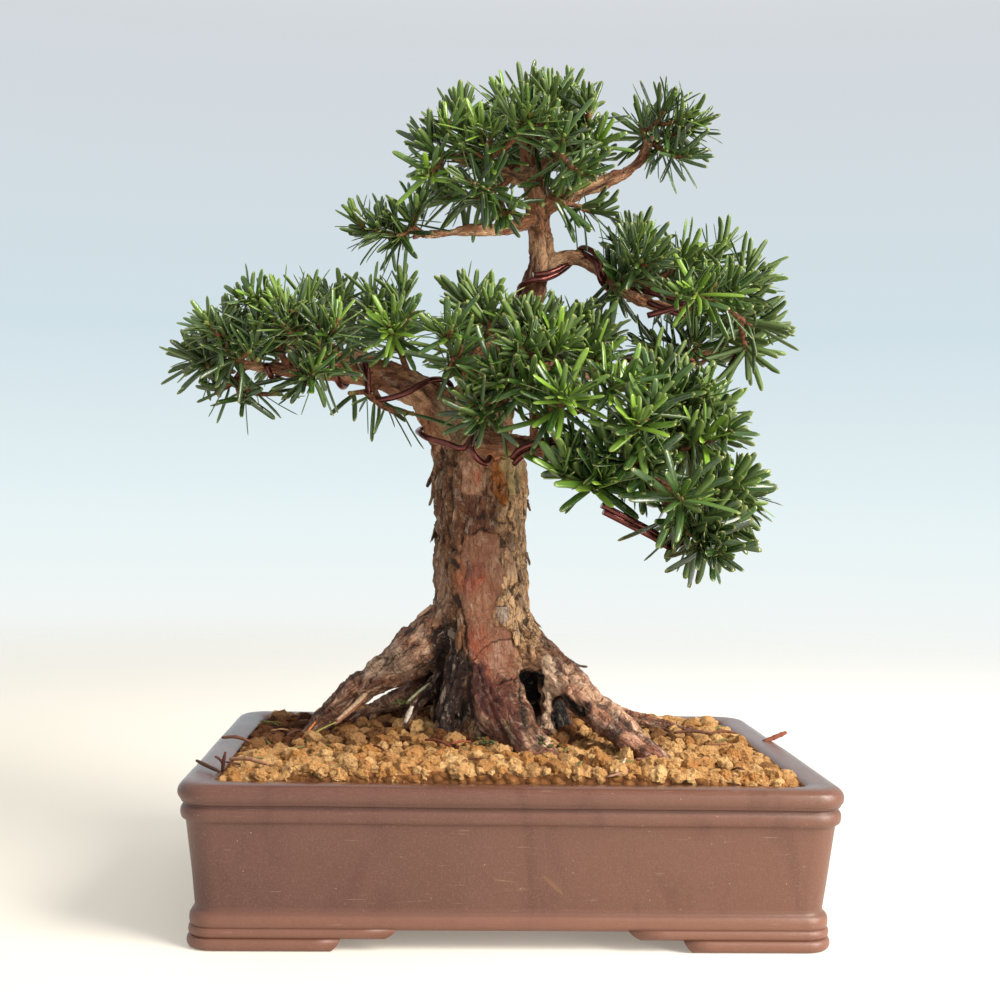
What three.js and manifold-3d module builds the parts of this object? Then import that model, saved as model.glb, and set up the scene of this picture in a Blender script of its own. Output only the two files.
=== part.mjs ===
// A japanese yew bonsai: an old tree with a straight scarred trunk and spreading surface roots,
// potted in a mound of clay granules in an unglazed rectangular pot.
//
// Millimetres, +Z up, seen from -Y. The tree and the pot are laid out about the middle of the pot's
// underside, and the whole is then shifted so that its own box stands centred on the origin.

import * as THREE from 'three';
import { mergeVertices } from 'three/addons/utils/BufferGeometryUtils.js';
import Module from 'manifold-3d';

const wasm = await Module();
wasm.setup();
const { Manifold, Mesh } = wasm;

// The pot.
const POT_LENGTH = 240;
const POT_DEPTH = 185;
const POT_HEIGHT = 59;
const POT_CORNER = 12;
const RIM_WIDTH = 13;
const FLOOR_TOP = 12;
const BODY_UNDERSIDE = 7.2;
const FOOT_WIDTH = 17;
const FOOT_TOP = 4.6;
const STEP_TOP = 8.4;
const STEP_UNDERSIDE = 4.2;
const DRAIN_RADIUS = 11;
const DRAIN_OFFSET = 54;
const SCREEN_SIDE = 34;
const SCREEN_THICKNESS = 1.2;
const SCREEN_HOLE = 6;
const SCREEN_PITCH = 9.4;

// The granules.
const SOIL_GRAIN_HEIGHT = 1.5;
const SOIL_COLUMNS = 25;
const SOIL_ROWS = 19;

// The wire and the foliage.
const WIRE_RADIUS = 1.25;
const WIRE_STEPS = 7;
const WIRE_SIDES = 4;
const NEEDLE_LENGTH = 17.5;
const NEEDLE_WIDTH = 2.7;
const NEEDLE_RISE = 0.6;
const NEEDLE_RINGS = 3;
const NEEDLE_SPACING = 2.4;
const UP_TURN = 0.35;
const TWIG_RADIUS = 1.6;
const TWIG_SIDES = 3;
const GAP = 0.3;
const ROOM = 0.4;
const SLIVER = 0.02;

// The sawn head: the block that the saw took, and the hollow that was carved out below the cut.
const SAW_CUT = { size: [30, 44, 20], middle: [12, -6, 191.5] };
const HOLLOW = { radii: [9, 8, 14], middle: [-1, -25, 170] };

// How far solids are shifted, and how much fatter a neighbour is taken, to be rid of slivers.
const NUDGES = [-0.03, 0.04];
const FATTER = [0, 0.03, 0.06, 0.09, 0.12];

// Where the pot's middle stands in the part's own frame.
const POT_X = 10;
const POT_Y = 0;

const UP = new THREE.Vector3(0, 0, 1);
const GOLDEN_ANGLE = Math.PI * (3 - Math.sqrt(5));

// Branches and roots, base first: x, y, z and radius of each point, chosen along the wood's middle line.
const LIMBS = {
  trunk: {
    sides: 14, steps: 11, flutes: 0.07,
    points: [[-4, -5, 44, 24], [-5, -5, 58, 25], [-7, -4, 71, 22], [-8, -3, 86, 20.5],
      [-9, -2, 104, 19.8], [-10, -2, 123, 19], [-11, -1, 142, 18.6], [-11, -1, 160, 19.3],
      [-12, 0, 174, 19.4], [-13, 1, 181, 16.5], [-14, 2, 187, 11], [-14, 3, 190, 6]],
  },
  leader: {
    sides: 7, steps: 9,
    points: [[-14, 4, 174, 13], [-11, 6, 190, 12.5], [-6, 9, 206, 10], [0, 10, 225, 7.6], [7, 9, 243, 6.2],
      [12, 7, 259, 5.6], [12, 6, 272, 4.9], [10, 4, 285, 6], [7, 2, 298, 4.8], [4, 0, 313, 2.8]],
  },
  left: {
    sides: 7, steps: 9,
    points: [[-17, 2, 172, 13], [-21, 1, 185, 12.5], [-29, -1, 196, 9.8], [-37, -4, 204, 7.6],
      [-48, -6, 209, 6.3], [-60, -7, 211, 4.5], [-76, -8, 211, 3.4], [-92, -9, 212, 2.8],
      [-105, -11, 213, 2.2], [-117, -12, 214, 1.7]],
  },
  front: {
    sides: 6, steps: 7,
    points: [[-18, -2, 178, 7], [-15, -12, 182, 6.2], [-3, -20, 182.5, 5.1], [13, -28, 181, 4.3],
      [23, -35, 177, 3.7], [35, -44, 174, 3.3], [47, -53, 171, 2.7], [58, -62, 164, 2]],
  },
  front_fork: {
    sides: 5, steps: 4,
    points: [[38, -46, 173, 2.6], [50, -40, 178, 2.3], [62, -33, 184, 2], [72, -27, 191, 1.6]],
  },
  upright: {
    sides: 5, steps: 4,
    points: [[9, -26, 181, 2.3], [8, -32, 195, 2], [8, -36, 208, 1.8], [13, -36, 219, 1.5]],
  },
  centre: {
    sides: 5, steps: 3,
    points: [[-15, -4, 186, 4.4], [-19, -18, 197, 3.6], [-18, -28, 210, 2.9], [-10, -30, 225, 2]],
  },
  upper_right: {
    sides: 6, steps: 6,
    points: [[12, 7, 258, 4.4], [26, 4, 263, 3.6], [35, 1, 259, 3.3], [45, -4, 249, 2.9], [57, -8, 243, 2.5],
      [73, -8, 240, 2.1], [88, -6, 244, 1.7]],
  },
  upper_back: {
    sides: 5, steps: 4,
    points: [[40, -2, 254, 2.7], [52, 10, 253, 2.4], [64, 20, 252, 2.1], [76, 27, 251, 1.7]],
  },
  back_right: {
    sides: 5, steps: 5,
    points: [[-2, 10, 222, 4.6], [12, 19, 217, 3.9], [30, 27, 217, 3.5], [48, 31, 218, 3.3],
      [64, 33, 220, 3.1], [82, 33, 226, 2.7], [98, 31, 232, 2.1]],
  },
  mid_back: {
    sides: 5, steps: 3,
    points: [[-5, 10, 209, 4.2], [-4, 28, 218, 3.4], [1, 42, 224, 2.7], [9, 54, 228, 2]],
  },
  left_back: {
    sides: 5, steps: 4,
    points: [[-34, -2, 204, 4.4], [-46, 10, 213, 3.6], [-61, 20, 219, 3], [-80, 25, 222, 2.4],
      [-98, 26, 224, 1.7]],
  },
  crown_right: {
    sides: 5, steps: 5,
    points: [[10, 4, 281, 4], [27, 0, 290, 3.5], [40, -2, 295, 3.1], [52, -2, 303, 2.6], [57, -1, 314, 1.9]],
  },
  crown_low: {
    sides: 5, steps: 4,
    points: [[10, 3, 279, 3.6], [-5, -3, 272.5, 2.8], [-18, -7, 271, 2.3], [-31, -9, 269, 1.9],
      [-42, -10, 267, 1.5]],
  },
  crown_left: {
    sides: 5, steps: 3,
    points: [[7, 2, 294, 3.5], [-5, -8, 294, 2.9], [-15, -11, 296, 2.4], [-26, -12, 300, 1.8]],
  },
  crown_front: {
    sides: 5, steps: 3,
    points: [[7, 2, 296, 3.2], [12, -12, 298, 2.5], [15, -23, 300, 1.8]],
  },
  crown_back: {
    sides: 5, steps: 3,
    points: [[7, 2, 297, 3.4], [8, 16, 305, 2.6], [8, 28, 314, 1.9]],
  },
  root_left: {
    sides: 7, steps: 9,
    points: [[-10, -2, 126, 11], [-16, -2, 115, 12.6], [-25, -2, 106, 12.2], [-34, -2, 100.5, 10.8],
      [-44, -1, 93, 9], [-54, 0, 85.5, 7.2], [-64, 2, 77, 5.9], [-75, 3, 67, 4.6], [-84, 3, 57, 3.5],
      [-90, 3, 48, 2.4]],
  },
  root_left_low: {
    sides: 5, steps: 5,
    points: [[-12, 3, 100, 9], [-27, 6, 87, 6], [-42, 8, 78, 4.3], [-57, 11, 69, 3.5], [-70, 13, 59, 2.9],
      [-78, 14, 50, 2.2]],
  },
  root_fork: {
    sides: 5, steps: 4,
    points: [[-24, -6, 90, 4], [-33, -10, 82, 2.9], [-38, -12, 74, 2.3], [-41, -14, 62, 2],
      [-42, -15, 54, 1.7]],
  },
  root_flake: {
    sides: 5, steps: 4,
    points: [[-13, -8, 112, 8], [-18, -14, 94, 7], [-22, -20, 76, 5.6], [-25, -25, 50, 4]],
  },
  root_front: {
    sides: 7, steps: 6,
    points: [[-5, -4, 118, 11], [-5.5, -9, 102, 12.2], [-4.5, -18, 86, 11.8], [0, -29, 73, 10.4],
      [10, -41, 63, 8.2], [20, -50, 53, 5.6]],
  },
  root_web: {
    sides: 6, steps: 4,
    points: [[5, -2, 100, 9], [13, -3, 85, 9], [20, -4, 70, 8.5], [26, -4, 52, 8]],
  },
  root_middle: {
    sides: 5, steps: 3,
    points: [[11, -6, 104, 5], [16, -16, 86, 3.6], [17, -22, 70, 3.2], [16, -25, 50, 3.2]],
  },
  root_right: {
    sides: 7, steps: 7,
    points: [[-4, -1, 124, 10], [0, -3, 110, 11.2], [9, -7, 99, 10.2], [20, -15, 91, 8.2], [32, -26, 80, 7],
      [45, -38, 70, 6.3], [56, -47, 62, 5.2], [65, -53, 51, 3.6]],
  },
  root_right_back: {
    sides: 5, steps: 6,
    points: [[-2, 4, 112, 9], [6, 6, 97, 7.6], [21, 9, 82, 5.6], [42, 14, 72, 3.8], [64, 20, 67, 2.8],
      [84, 25, 62, 2.4], [101, 28, 55, 1.9]],
  },
  root_back: {
    sides: 6, steps: 5,
    points: [[-8, 1, 120, 11], [-5, 8, 104, 12.4], [1, 19, 88, 10.4], [9, 32, 74, 7.2], [18, 48, 56, 4.2]],
  },
  root_back_left: {
    sides: 6, steps: 4,
    points: [[-12, 3, 110, 12], [-19, 13, 93, 9.6], [-29, 28, 76, 6.6], [-40, 44, 57, 3.6]],
  },
};

// Branches that carry the foliage of each pad.
const BEARERS = {
  left: ['left', 'left_back'],
  centre: ['leader', 'front', 'upright', 'centre', 'mid_back', 'back_right'],
  low_right: ['front', 'front_fork', 'upright'],
  upper_right: ['upper_right', 'upper_back', 'back_right'],
  crown: ['leader', 'crown_right', 'crown_low', 'crown_left', 'crown_front', 'crown_back'],
};

// Tips of the shoots of each spray, grouped by the foliage pad that they belong to.
const PADS = {
  left: [
    [[-83, -10, 243], [-70, 12, 245]],
    [[-98, -20, 235], [-85, -32, 232]],
    [[-112, -12, 231], [-122, 4, 227]],
    [[-114, -32, 223], [-103, -38, 216]],
    [[-126, -14, 219], [-131, -2, 215], [-121, -24, 211]],
    [[-74, -38, 223], [-90, -40, 226], [-82, -34, 207]],
    [[-46, -8, 243], [-58, 2, 246], [-50, -30, 228]],
    [[-119, -10, 202], [-107, -22, 198], [-95, -6, 202]],
    [[-65, -20, 202], [-49, -14, 197], [-40, -26, 194]],
    [[-70, 36, 240], [-56, 34, 238]],
    [[-96, 32, 235], [-116, 24, 230], [-104, 36, 217]],
  ],
  centre: [
    [[-10, -22, 238], [-21, -10, 243]],
    [[-28, -32, 225], [-27, -38, 211]],
    [[5, -28, 233], [22, -20, 232]],
    [[36, -14, 231], [33, -34, 217]],
    [[-10, -44, 211], [-12, -42, 194]],
    [[19, -62, 199], [36, -58, 204]],
    [[17, -44, 222], [1, -50, 219], [4, -52, 203]],
    [[24, 32, 234], [40, 44, 230]],
    [[-14, 34, 234], [2, 52, 232], [-8, 52, 216]],
  ],
  low_right: [
    [[59, -76, 162]],
    [[70, -67, 145], [83, -48, 152]],
    [[86, -50, 167], [93, -32, 164]],
    [[74, -46, 186], [83, -22, 198]],
    [[50, -64, 177], [43, -68, 189], [33, -62, 177]],
    [[29, -60, 165], [17, -58, 170]],
    [[68, -30, 203], [54, -44, 200], [56, -12, 214]],
    [[76, -8, 184], [58, -8, 188]],
  ],
  upper_right: [
    [[54, -4, 267], [55, 14, 272]],
    [[75, 2, 266], [88, 18, 267]],
    [[42, -18, 249], [50, -26, 257]],
    [[89, -18, 250], [99, -2, 259], [71, -32, 244]],
    [[109, 6, 236], [105, 22, 226]],
    [[80, 14, 234], [64, 24, 230]],
    [[72, 42, 262], [92, 38, 250]],
  ],
  crown: [
    [[-23, -6, 320], [-31, -10, 309]],
    [[-15, -28, 308], [4, -34, 312]],
    [[-36, -18, 301], [-36, -24, 289]],
    [[-6, -8, 324], [5, 4, 329]],
    [[15, -14, 325], [25, 6, 328]],
    [[31, -14, 320], [33, -22, 304]],
    [[17, -38, 303], [24, -34, 290]],
    [[19, -18, 281], [31, -6, 282]],
    [[-14, -28, 284], [-6, -18, 276], [-27, 6, 289]],
    [[53, 4, 320], [62, -8, 325], [75, -5, 317], [66, -6, 305]],
    [[-44, -12, 275], [-60, -5, 269], [-47, -18, 266]],
    [[-6, 34, 326], [20, 36, 328], [34, 26, 308]],
    [[9, 44, 311], [-16, 32, 309]],
  ],
};

// Bends a closed cylinder along a limb's middle line, as thick there as the limb's radii say.
function makeLimb({ sides, steps, points, flutes = 0 }) {
  const curve = new THREE.CatmullRomCurve3(
    points.map(([x, y, z]) => new THREE.Vector3(x, y, z)), false, 'centripetal');
  const radii = points.map((point) => point[3]);
  const frames = curve.computeFrenetFrames(steps, false);
  const radiusAt = (u) => {
    const place = curve.getUtoTmapping(u, 0) * (radii.length - 1);
    const index = Math.min(Math.floor(place), radii.length - 2);
    return THREE.MathUtils.lerp(radii[index], radii[index + 1], place - index);
  };
  const solid = (grow = 0) => {
    const geometry = new THREE.CylinderGeometry(1, 1, 1, sides, steps);
    const position = geometry.attributes.position;
    for (let i = 0; i < position.count; i += 1) {
      const u = position.getY(i) + 0.5;
      const step = Math.round(u * steps);
      const angle = Math.atan2(position.getX(i), position.getZ(i));
      const fluted = 1 + flutes * (Math.cos(3 * angle + 1.2) + 0.6 * Math.cos(5 * angle + 2 * u));
      const radius = radiusAt(step / steps) * fluted + grow / Math.cos(Math.PI / sides);
      const end = step === 0 ? -grow : (step === steps ? grow : 0);
      const point = curve.getPointAt(step / steps)
        .addScaledVector(frames.normals[step], position.getX(i) * radius)
        .addScaledVector(frames.binormals[step], -position.getZ(i) * radius)
        .addScaledVector(frames.tangents[step], end);
      position.setXYZ(i, point.x, point.y, point.z);
    }
    return toSolid(geometry);
  };
  return { curve, radiusAt, solid, length: curve.getLength() };
}

function toSolid(geometry) {
  geometry.deleteAttribute('normal');
  geometry.deleteAttribute('uv');
  const merged = mergeVertices(geometry);
  return new Manifold(new Mesh({
    numProp: 3,
    vertProperties: new Float32Array(merged.attributes.position.array),
    triVerts: new Uint32Array(merged.index.array),
  }));
}

function solidFrom(vertices, triangles) {
  return new Manifold(new Mesh({
    numProp: 3,
    vertProperties: new Float32Array(vertices.flatMap((vertex) => vertex.toArray())),
    triVerts: new Uint32Array(triangles.flat()),
  }));
}

// The biggest of the pieces that a cut leaves.
function mainPiece(solid) {
  return solid.decompose().reduce((best, piece) => (piece.volume() > best.volume() ? piece : best));
}

function shortestEdge(solid) {
  const { vertProperties, triVerts, numProp } = solid.getMesh();
  const corner = (index) => new THREE.Vector3().fromArray(vertProperties, triVerts[index] * numProp);
  let shortest = Infinity;
  for (let i = 0; i < triVerts.length; i += 3) {
    const [a, b, c] = [corner(i), corner(i + 1), corner(i + 2)];
    shortest = Math.min(shortest, a.distanceTo(b), b.distanceTo(c), c.distanceTo(a));
  }
  return shortest;
}

// Joins solids and cuts them clear of a neighbour. They are shifted a hair apart, and the neighbour is
// taken a hair fatter, as often as it needs until no sliver is left.
function joinAndClear(solids, neighbours) {
  let best = null;
  neighbours.forEach((neighbour, round) => {
    if (best && best.edge > SLIVER / 4) return;
    const nudge = NUDGES[round % 2] * round;
    const nudged = solids.map((solid, index) => solid.translate([0, 0, nudge * index]));
    const piece = mainPiece(Manifold.union(nudged).subtract(neighbour)).simplify(SLIVER);
    const edge = shortestEdge(piece);
    if (!best || edge > best.edge) best = { piece, edge };
  });
  return best.piece;
}

// A named mesh of a solid, without the slivers that joins and cuts leave.
function makeMesh(name, solid, { color, roughness, metalness = 0 }) {
  const { vertProperties, triVerts, numProp } = solid.simplify(SLIVER).getMesh();
  const geometry = new THREE.BufferGeometry();
  const position = new Float32Array((vertProperties.length / numProp) * 3);
  for (let i = 0; i < position.length / 3; i += 1) {
    position.set(vertProperties.subarray(i * numProp, i * numProp + 3), i * 3);
  }
  geometry.setAttribute('position', new THREE.BufferAttribute(position, 3));
  geometry.setIndex(new THREE.BufferAttribute(new Uint32Array(triVerts), 1));
  geometry.computeVertexNormals();
  const mesh = new THREE.Mesh(geometry, new THREE.MeshStandardMaterial({ color, roughness, metalness }));
  mesh.name = name;
  return mesh;
}

// A repeatable draw from 0 to 1.
function makeRandom(seed) {
  let state = seed;
  return () => {
    state = (Math.imul(state, 1664525) + 1013904223) >>> 0;
    return state / 4294967296;
  };
}

// One level of the pot: a rectangle with round corners, set in from the rim's outline.
function potLevel(inset, z) {
  const cornerSteps = 2;
  const radius = Math.max(POT_CORNER - inset * 0.5, 3);
  const halfX = POT_LENGTH / 2 - inset - radius;
  const halfY = POT_DEPTH / 2 - inset - radius;
  const loop = [];
  for (let corner = 0; corner < 4; corner += 1) {
    const centreX = corner === 0 || corner === 3 ? halfX : -halfX;
    const centreY = corner < 2 ? halfY : -halfY;
    for (let i = 0; i <= cornerSteps; i += 1) {
      const angle = (corner + i / cornerSteps) * Math.PI / 2;
      loop.push(new THREE.Vector3(centreX + radius * Math.cos(angle), centreY + radius * Math.sin(angle), z));
    }
  }
  return loop;
}

// Joins loops of equal length into a skin. It closes on itself, or is capped flat at both ends.
function loft(loops, closes = false) {
  const size = loops[0].length;
  const triangles = [];
  const last = closes ? loops.length : loops.length - 1;
  for (let level = 0; level < last; level += 1) {
    const low = level * size;
    const high = ((level + 1) % loops.length) * size;
    for (let i = 0; i < size; i += 1) {
      const next = (i + 1) % size;
      triangles.push([low + i, low + next, high + next], [low + i, high + next, high + i]);
    }
  }
  if (!closes) {
    const top = (loops.length - 1) * size;
    for (let i = 1; i < size - 1; i += 1) {
      triangles.push([0, i + 1, i], [top, top + i, top + i + 1]);
    }
  }
  return solidFrom(loops.flat(), triangles);
}

// A strip of foot or step running round under the pot, cut away along the middle of each side.
function footStrip({ levels, gapX, gapY, flare }) {
  const bottom = levels[0][1];
  const top = levels[levels.length - 1][1];
  const outer = levels.map(([inset, z]) => potLevel(inset, z));
  const inner = [top, bottom].map((z) => potLevel(FOOT_WIDTH, z));
  const cutter = (half, length) => {
    const shape = new THREE.Shape([
      new THREE.Vector2(-half - flare, bottom - 1), new THREE.Vector2(half + flare, bottom - 1),
      new THREE.Vector2(half, top + 1), new THREE.Vector2(-half, top + 1)]);
    const geometry = new THREE.ExtrudeGeometry(shape, { depth: length, bevelEnabled: false });
    geometry.translate(0, 0, -length / 2);
    geometry.rotateX(Math.PI / 2);
    return geometry;
  };
  const across = cutter(gapX, POT_DEPTH + 20);
  const along = cutter(gapY, POT_LENGTH + 20).rotateZ(Math.PI / 2);
  return loft([...outer, ...inner], true).subtract(toSolid(across)).subtract(toSolid(along));
}

function makePot() {
  const body = loft([
    [6.6, BODY_UNDERSIDE], [5.4, 7.8], [4.9, 10], [5.6, 12.4], [6.6, 13.3],
    [2.9, 44.6], [1.4, 45.8], [1.1, 48.2], [1.9, 50.4],
    [2.3, 51.2], [0.6, 52.4], [0, 55.2], [0.7, 57.9], [2.8, POT_HEIGHT],
    [RIM_WIDTH - 2, POT_HEIGHT - 0.4], [RIM_WIDTH, 57.4], [RIM_WIDTH + 0.6, 40], [RIM_WIDTH + 2, FLOOR_TOP],
  ].map(([inset, z]) => potLevel(inset, z)));
  const foot = footStrip({
    levels: [[5, 0], [4.2, 1.6], [4.4, 4], [5, FOOT_TOP]], gapX: 61, gapY: 38, flare: 3.4,
  });
  const step = footStrip({
    levels: [[5.4, STEP_UNDERSIDE], [4.6, 6], [5.4, STEP_TOP]], gapX: 41, gapY: 21, flare: 5,
  });
  const drains = [-DRAIN_OFFSET, DRAIN_OFFSET].map((x) => toSolid(
    new THREE.CylinderGeometry(DRAIN_RADIUS, DRAIN_RADIUS, FLOOR_TOP, 16)
      .rotateX(Math.PI / 2).translate(x, 0, FLOOR_TOP)));
  return Manifold.union([body, foot, step]).subtract(Manifold.union(drains));
}

// A square of plastic mesh over a drain hole, which keeps the granules in. Grown, it has no holes.
function makeScreen(x, grow = 0) {
  const side = SCREEN_SIDE + 2 * grow;
  const middle = FLOOR_TOP + GAP + SCREEN_THICKNESS / 2;
  const plate = toSolid(
    new THREE.BoxGeometry(side, side, SCREEN_THICKNESS + 2 * grow).translate(x, 0, middle));
  if (grow > 0) return plate;
  const holes = [];
  for (const i of [-1, 0, 1]) {
    for (const j of [-1, 0, 1]) {
      holes.push(toSolid(new THREE.BoxGeometry(SCREEN_HOLE, SCREEN_HOLE, 3 * SCREEN_THICKNESS)
        .translate(x + i * SCREEN_PITCH, j * SCREEN_PITCH, middle)));
    }
  }
  return plate.subtract(Manifold.union(holes));
}

// The lie of the granules: heaped round the trunk, up to the rim in front, a little lower at the ends.
function soilHeight(x, y) {
  const edge = 54.5 + 4.5 * (1 - (x / 110) ** 4);
  const heap = 9.5 * Math.exp(-(((x + 14) / 60) ** 2) - ((y - 14) / 52) ** 2);
  const front = 1.4 * THREE.MathUtils.smoothstep(-y, 45, 80) * (1 - (x / 110) ** 4);
  const back = -1.5 * THREE.MathUtils.smoothstep(y, 50, 80);
  return edge + heap + front + back;
}

function makeSoil() {
  const random = makeRandom(5);
  const halfX = POT_LENGTH / 2 - RIM_WIDTH - GAP - 0.8;
  const halfY = POT_DEPTH / 2 - RIM_WIDTH - GAP - 0.8;
  const corner = 6;
  const underside = FLOOR_TOP + GAP;
  const rows = [];
  for (let row = 0; row <= SOIL_ROWS; row += 1) {
    const y = THREE.MathUtils.lerp(-halfY, halfY, row / SOIL_ROWS);
    const past = Math.max(Math.abs(y) - (halfY - corner), 0);
    const reach = halfX - corner + Math.sqrt(corner ** 2 - past ** 2);
    const points = [];
    for (let column = 0; column <= SOIL_COLUMNS; column += 1) {
      const inside = column > 0 && column < SOIL_COLUMNS && row > 0 && row < SOIL_ROWS;
      const stagger = inside ? (row % 2) * 0.5 - 0.25 + (random() - 0.5) * 0.3 : 0;
      const x = THREE.MathUtils.lerp(-reach, reach, (column + stagger) / SOIL_COLUMNS);
      const shiftedY = y + (inside ? (random() - 0.5) * 1.6 : 0);
      // Every third point of the lattice is the top of a grain.
      const isTop = (((column - Math.floor(row / 2) - row) % 3) + 3) % 3 === 0;
      const grain = isTop ? SOIL_GRAIN_HEIGHT * (0.6 + 0.6 * random()) : -0.5 * random();
      points.push(new THREE.Vector3(x, shiftedY, soilHeight(x, shiftedY) + grain));
    }
    rows.push(points);
  }
  const vertices = rows.flat();
  const at = (row, column) => row * (SOIL_COLUMNS + 1) + column;
  const triangles = [];
  for (let row = 0; row < SOIL_ROWS; row += 1) {
    for (let column = 0; column < SOIL_COLUMNS; column += 1) {
      const [a, b] = [at(row, column), at(row, column + 1)];
      const [c, d] = [at(row + 1, column), at(row + 1, column + 1)];
      triangles.push(...(row % 2 ? [[a, b, d], [a, d, c]] : [[a, b, c], [b, d, c]]));
    }
  }
  const edge = [];
  for (let column = 0; column < SOIL_COLUMNS; column += 1) edge.push(at(0, column));
  for (let row = 0; row < SOIL_ROWS; row += 1) edge.push(at(row, SOIL_COLUMNS));
  for (let column = SOIL_COLUMNS; column > 0; column -= 1) edge.push(at(SOIL_ROWS, column));
  for (let row = SOIL_ROWS; row > 0; row -= 1) edge.push(at(row, 0));
  const below = vertices.length;
  for (const index of edge) {
    const { x, y } = vertices[index];
    vertices.push(new THREE.Vector3(x * 0.985, y * 0.985, underside));
  }
  for (let i = 0; i < edge.length; i += 1) {
    const next = (i + 1) % edge.length;
    triangles.push([below + i, below + next, edge[next]], [below + i, edge[next], edge[i]]);
    if (i > 0 && next > 0) triangles.push([below, below + next, below + i]);
  }
  return solidFrom(vertices, triangles);
}

// Points of a coil of wire wound round part of a limb.
function coil(limb, { from, to, turns, phase }) {
  const resolution = 60;
  const frames = limb.curve.computeFrenetFrames(resolution, false);
  const count = Math.round(Math.abs(turns) * WIRE_STEPS);
  const points = [];
  for (let i = 0; i <= count; i += 1) {
    const u = THREE.MathUtils.lerp(from, to, i / count);
    const index = Math.round(u * resolution);
    const angle = phase + 2 * Math.PI * turns * i / count;
    const radius = (limb.radiusAt(u) + WIRE_RADIUS + ROOM) / Math.cos(Math.PI / WIRE_STEPS);
    points.push(limb.curve.getPointAt(u)
      .addScaledVector(frames.normals[index], radius * Math.cos(angle))
      .addScaledVector(frames.binormals[index], radius * Math.sin(angle)));
  }
  return points;
}

function wireSolid(points, grow = 0) {
  const curve = new THREE.CatmullRomCurve3(points, false, 'centripetal');
  const radius = WIRE_RADIUS + grow;
  const section = new THREE.Shape();
  for (let i = 0; i < WIRE_SIDES; i += 1) {
    const angle = i * 2 * Math.PI / WIRE_SIDES;
    const corner = [radius * Math.cos(angle), radius * Math.sin(angle)];
    if (i === 0) section.moveTo(...corner);
    else section.lineTo(...corner);
  }
  section.closePath();
  return toSolid(new THREE.ExtrudeGeometry(section, {
    steps: points.length, bevelEnabled: false, extrudePath: curve,
  }));
}

const vector = ([x, y, z]) => new THREE.Vector3(x, y, z);

// Training wires, each a strand wound from one branch to the next.
function wireRoutes(limbs) {
  return {
    wire_left: [
      ...coil(limbs.left, { from: 0.86, to: 0.34, turns: -4, phase: 0.4 }),
      ...[[-39, -18, 196], [-33, -22, 188], [-25, -24, 184]].map(vector),
      ...coil(limbs.front, { from: 0.3, to: 0.44, turns: 1, phase: 2.2 }),
    ],
    wire_front_a: [
      ...coil(limbs.front, { from: 0.5, to: 0.8, turns: 2, phase: 0.6 }),
      ...[[41, -56, 160], [52, -62, 152]].map(vector),
    ],
    wire_front_b: [
      ...coil(limbs.front, { from: 0.545, to: 0.84, turns: 2, phase: 0.6 }),
    ],
    wire_upper_a: [
      ...coil(limbs.leader, { from: 0.5, to: 0.58, turns: 1, phase: 3.6 }),
      ...coil(limbs.upper_right, { from: 0.16, to: 0.84, turns: 3, phase: 4.4 }),
    ],
    wire_upper_b: [
      ...coil(limbs.upper_right, { from: 0.22, to: 0.9, turns: 3, phase: 4.4 }),
    ],
    wire_back: [
      ...coil(limbs.back_right, { from: 0.5, to: 0.92, turns: 2, phase: 1 }),
    ],
  };
}

// The shortest distance between two straight stretches.
function stretchDistance(a, b, c, d) {
  const u = b.clone().sub(a);
  const v = d.clone().sub(c);
  const w = a.clone().sub(c);
  const uu = u.dot(u);
  const uv = u.dot(v);
  const vv = v.dot(v);
  const uw = u.dot(w);
  const vw = v.dot(w);
  const spread = uu * vv - uv * uv;
  const clamp = (value) => Math.min(Math.max(value, 0), 1);
  let s = spread > 1e-6 ? clamp((uv * vw - vv * uw) / spread) : 0;
  const t = clamp((uv * s + vw) / vv);
  s = clamp((uv * t - uw) / uu);
  return w.addScaledVector(u, s).addScaledVector(v, -t).length();
}

// What is already in place, as stretches with a thickness, each marked with the piece that it belongs to.
const taken = [];

function takeCurve(owner, curve, radiusAt, pieces) {
  for (let i = 0; i < pieces; i += 1) {
    taken.push({
      owner,
      start: curve.getPointAt(i / pieces),
      end: curve.getPointAt((i + 1) / pieces),
      radius: Math.max(radiusAt(i / pieces), radiusAt((i + 1) / pieces)),
    });
  }
}

// How much room there is between a new stretch and everything of another owner.
function roomAround(start, end, radius, owner, enough) {
  let room = Infinity;
  for (const other of taken) {
    if (other.owner === owner) continue;
    room = Math.min(room, stretchDistance(start, end, other.start, other.end) - radius - other.radius);
    if (room < enough) return room;
  }
  return room;
}

// The place on a branch from which a shoot grows to its tip: near it, behind it, and not used yet.
function findBud(tip, bearers, limbs, used) {
  let best = null;
  for (const name of bearers) {
    const { curve } = limbs[name];
    for (let i = 8; i <= 40; i += 1) {
      const u = i / 40;
      const point = curve.getPointAt(u);
      const shoot = tip.clone().sub(point);
      const lean = curve.getTangentAt(u).angleTo(shoot);
      const crowd = used.reduce((sum, other) => sum + Math.max(0, 7 - other.distanceTo(point)), 0);
      const cost = shoot.length() + 14 * Math.max(0, lean - 0.9) + 3 * crowd;
      if (!best || cost < best.cost) best = { cost, point, name, inside: limbs[name].radiusAt(u) };
    }
  }
  used.push(best.point);
  return best;
}

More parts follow.
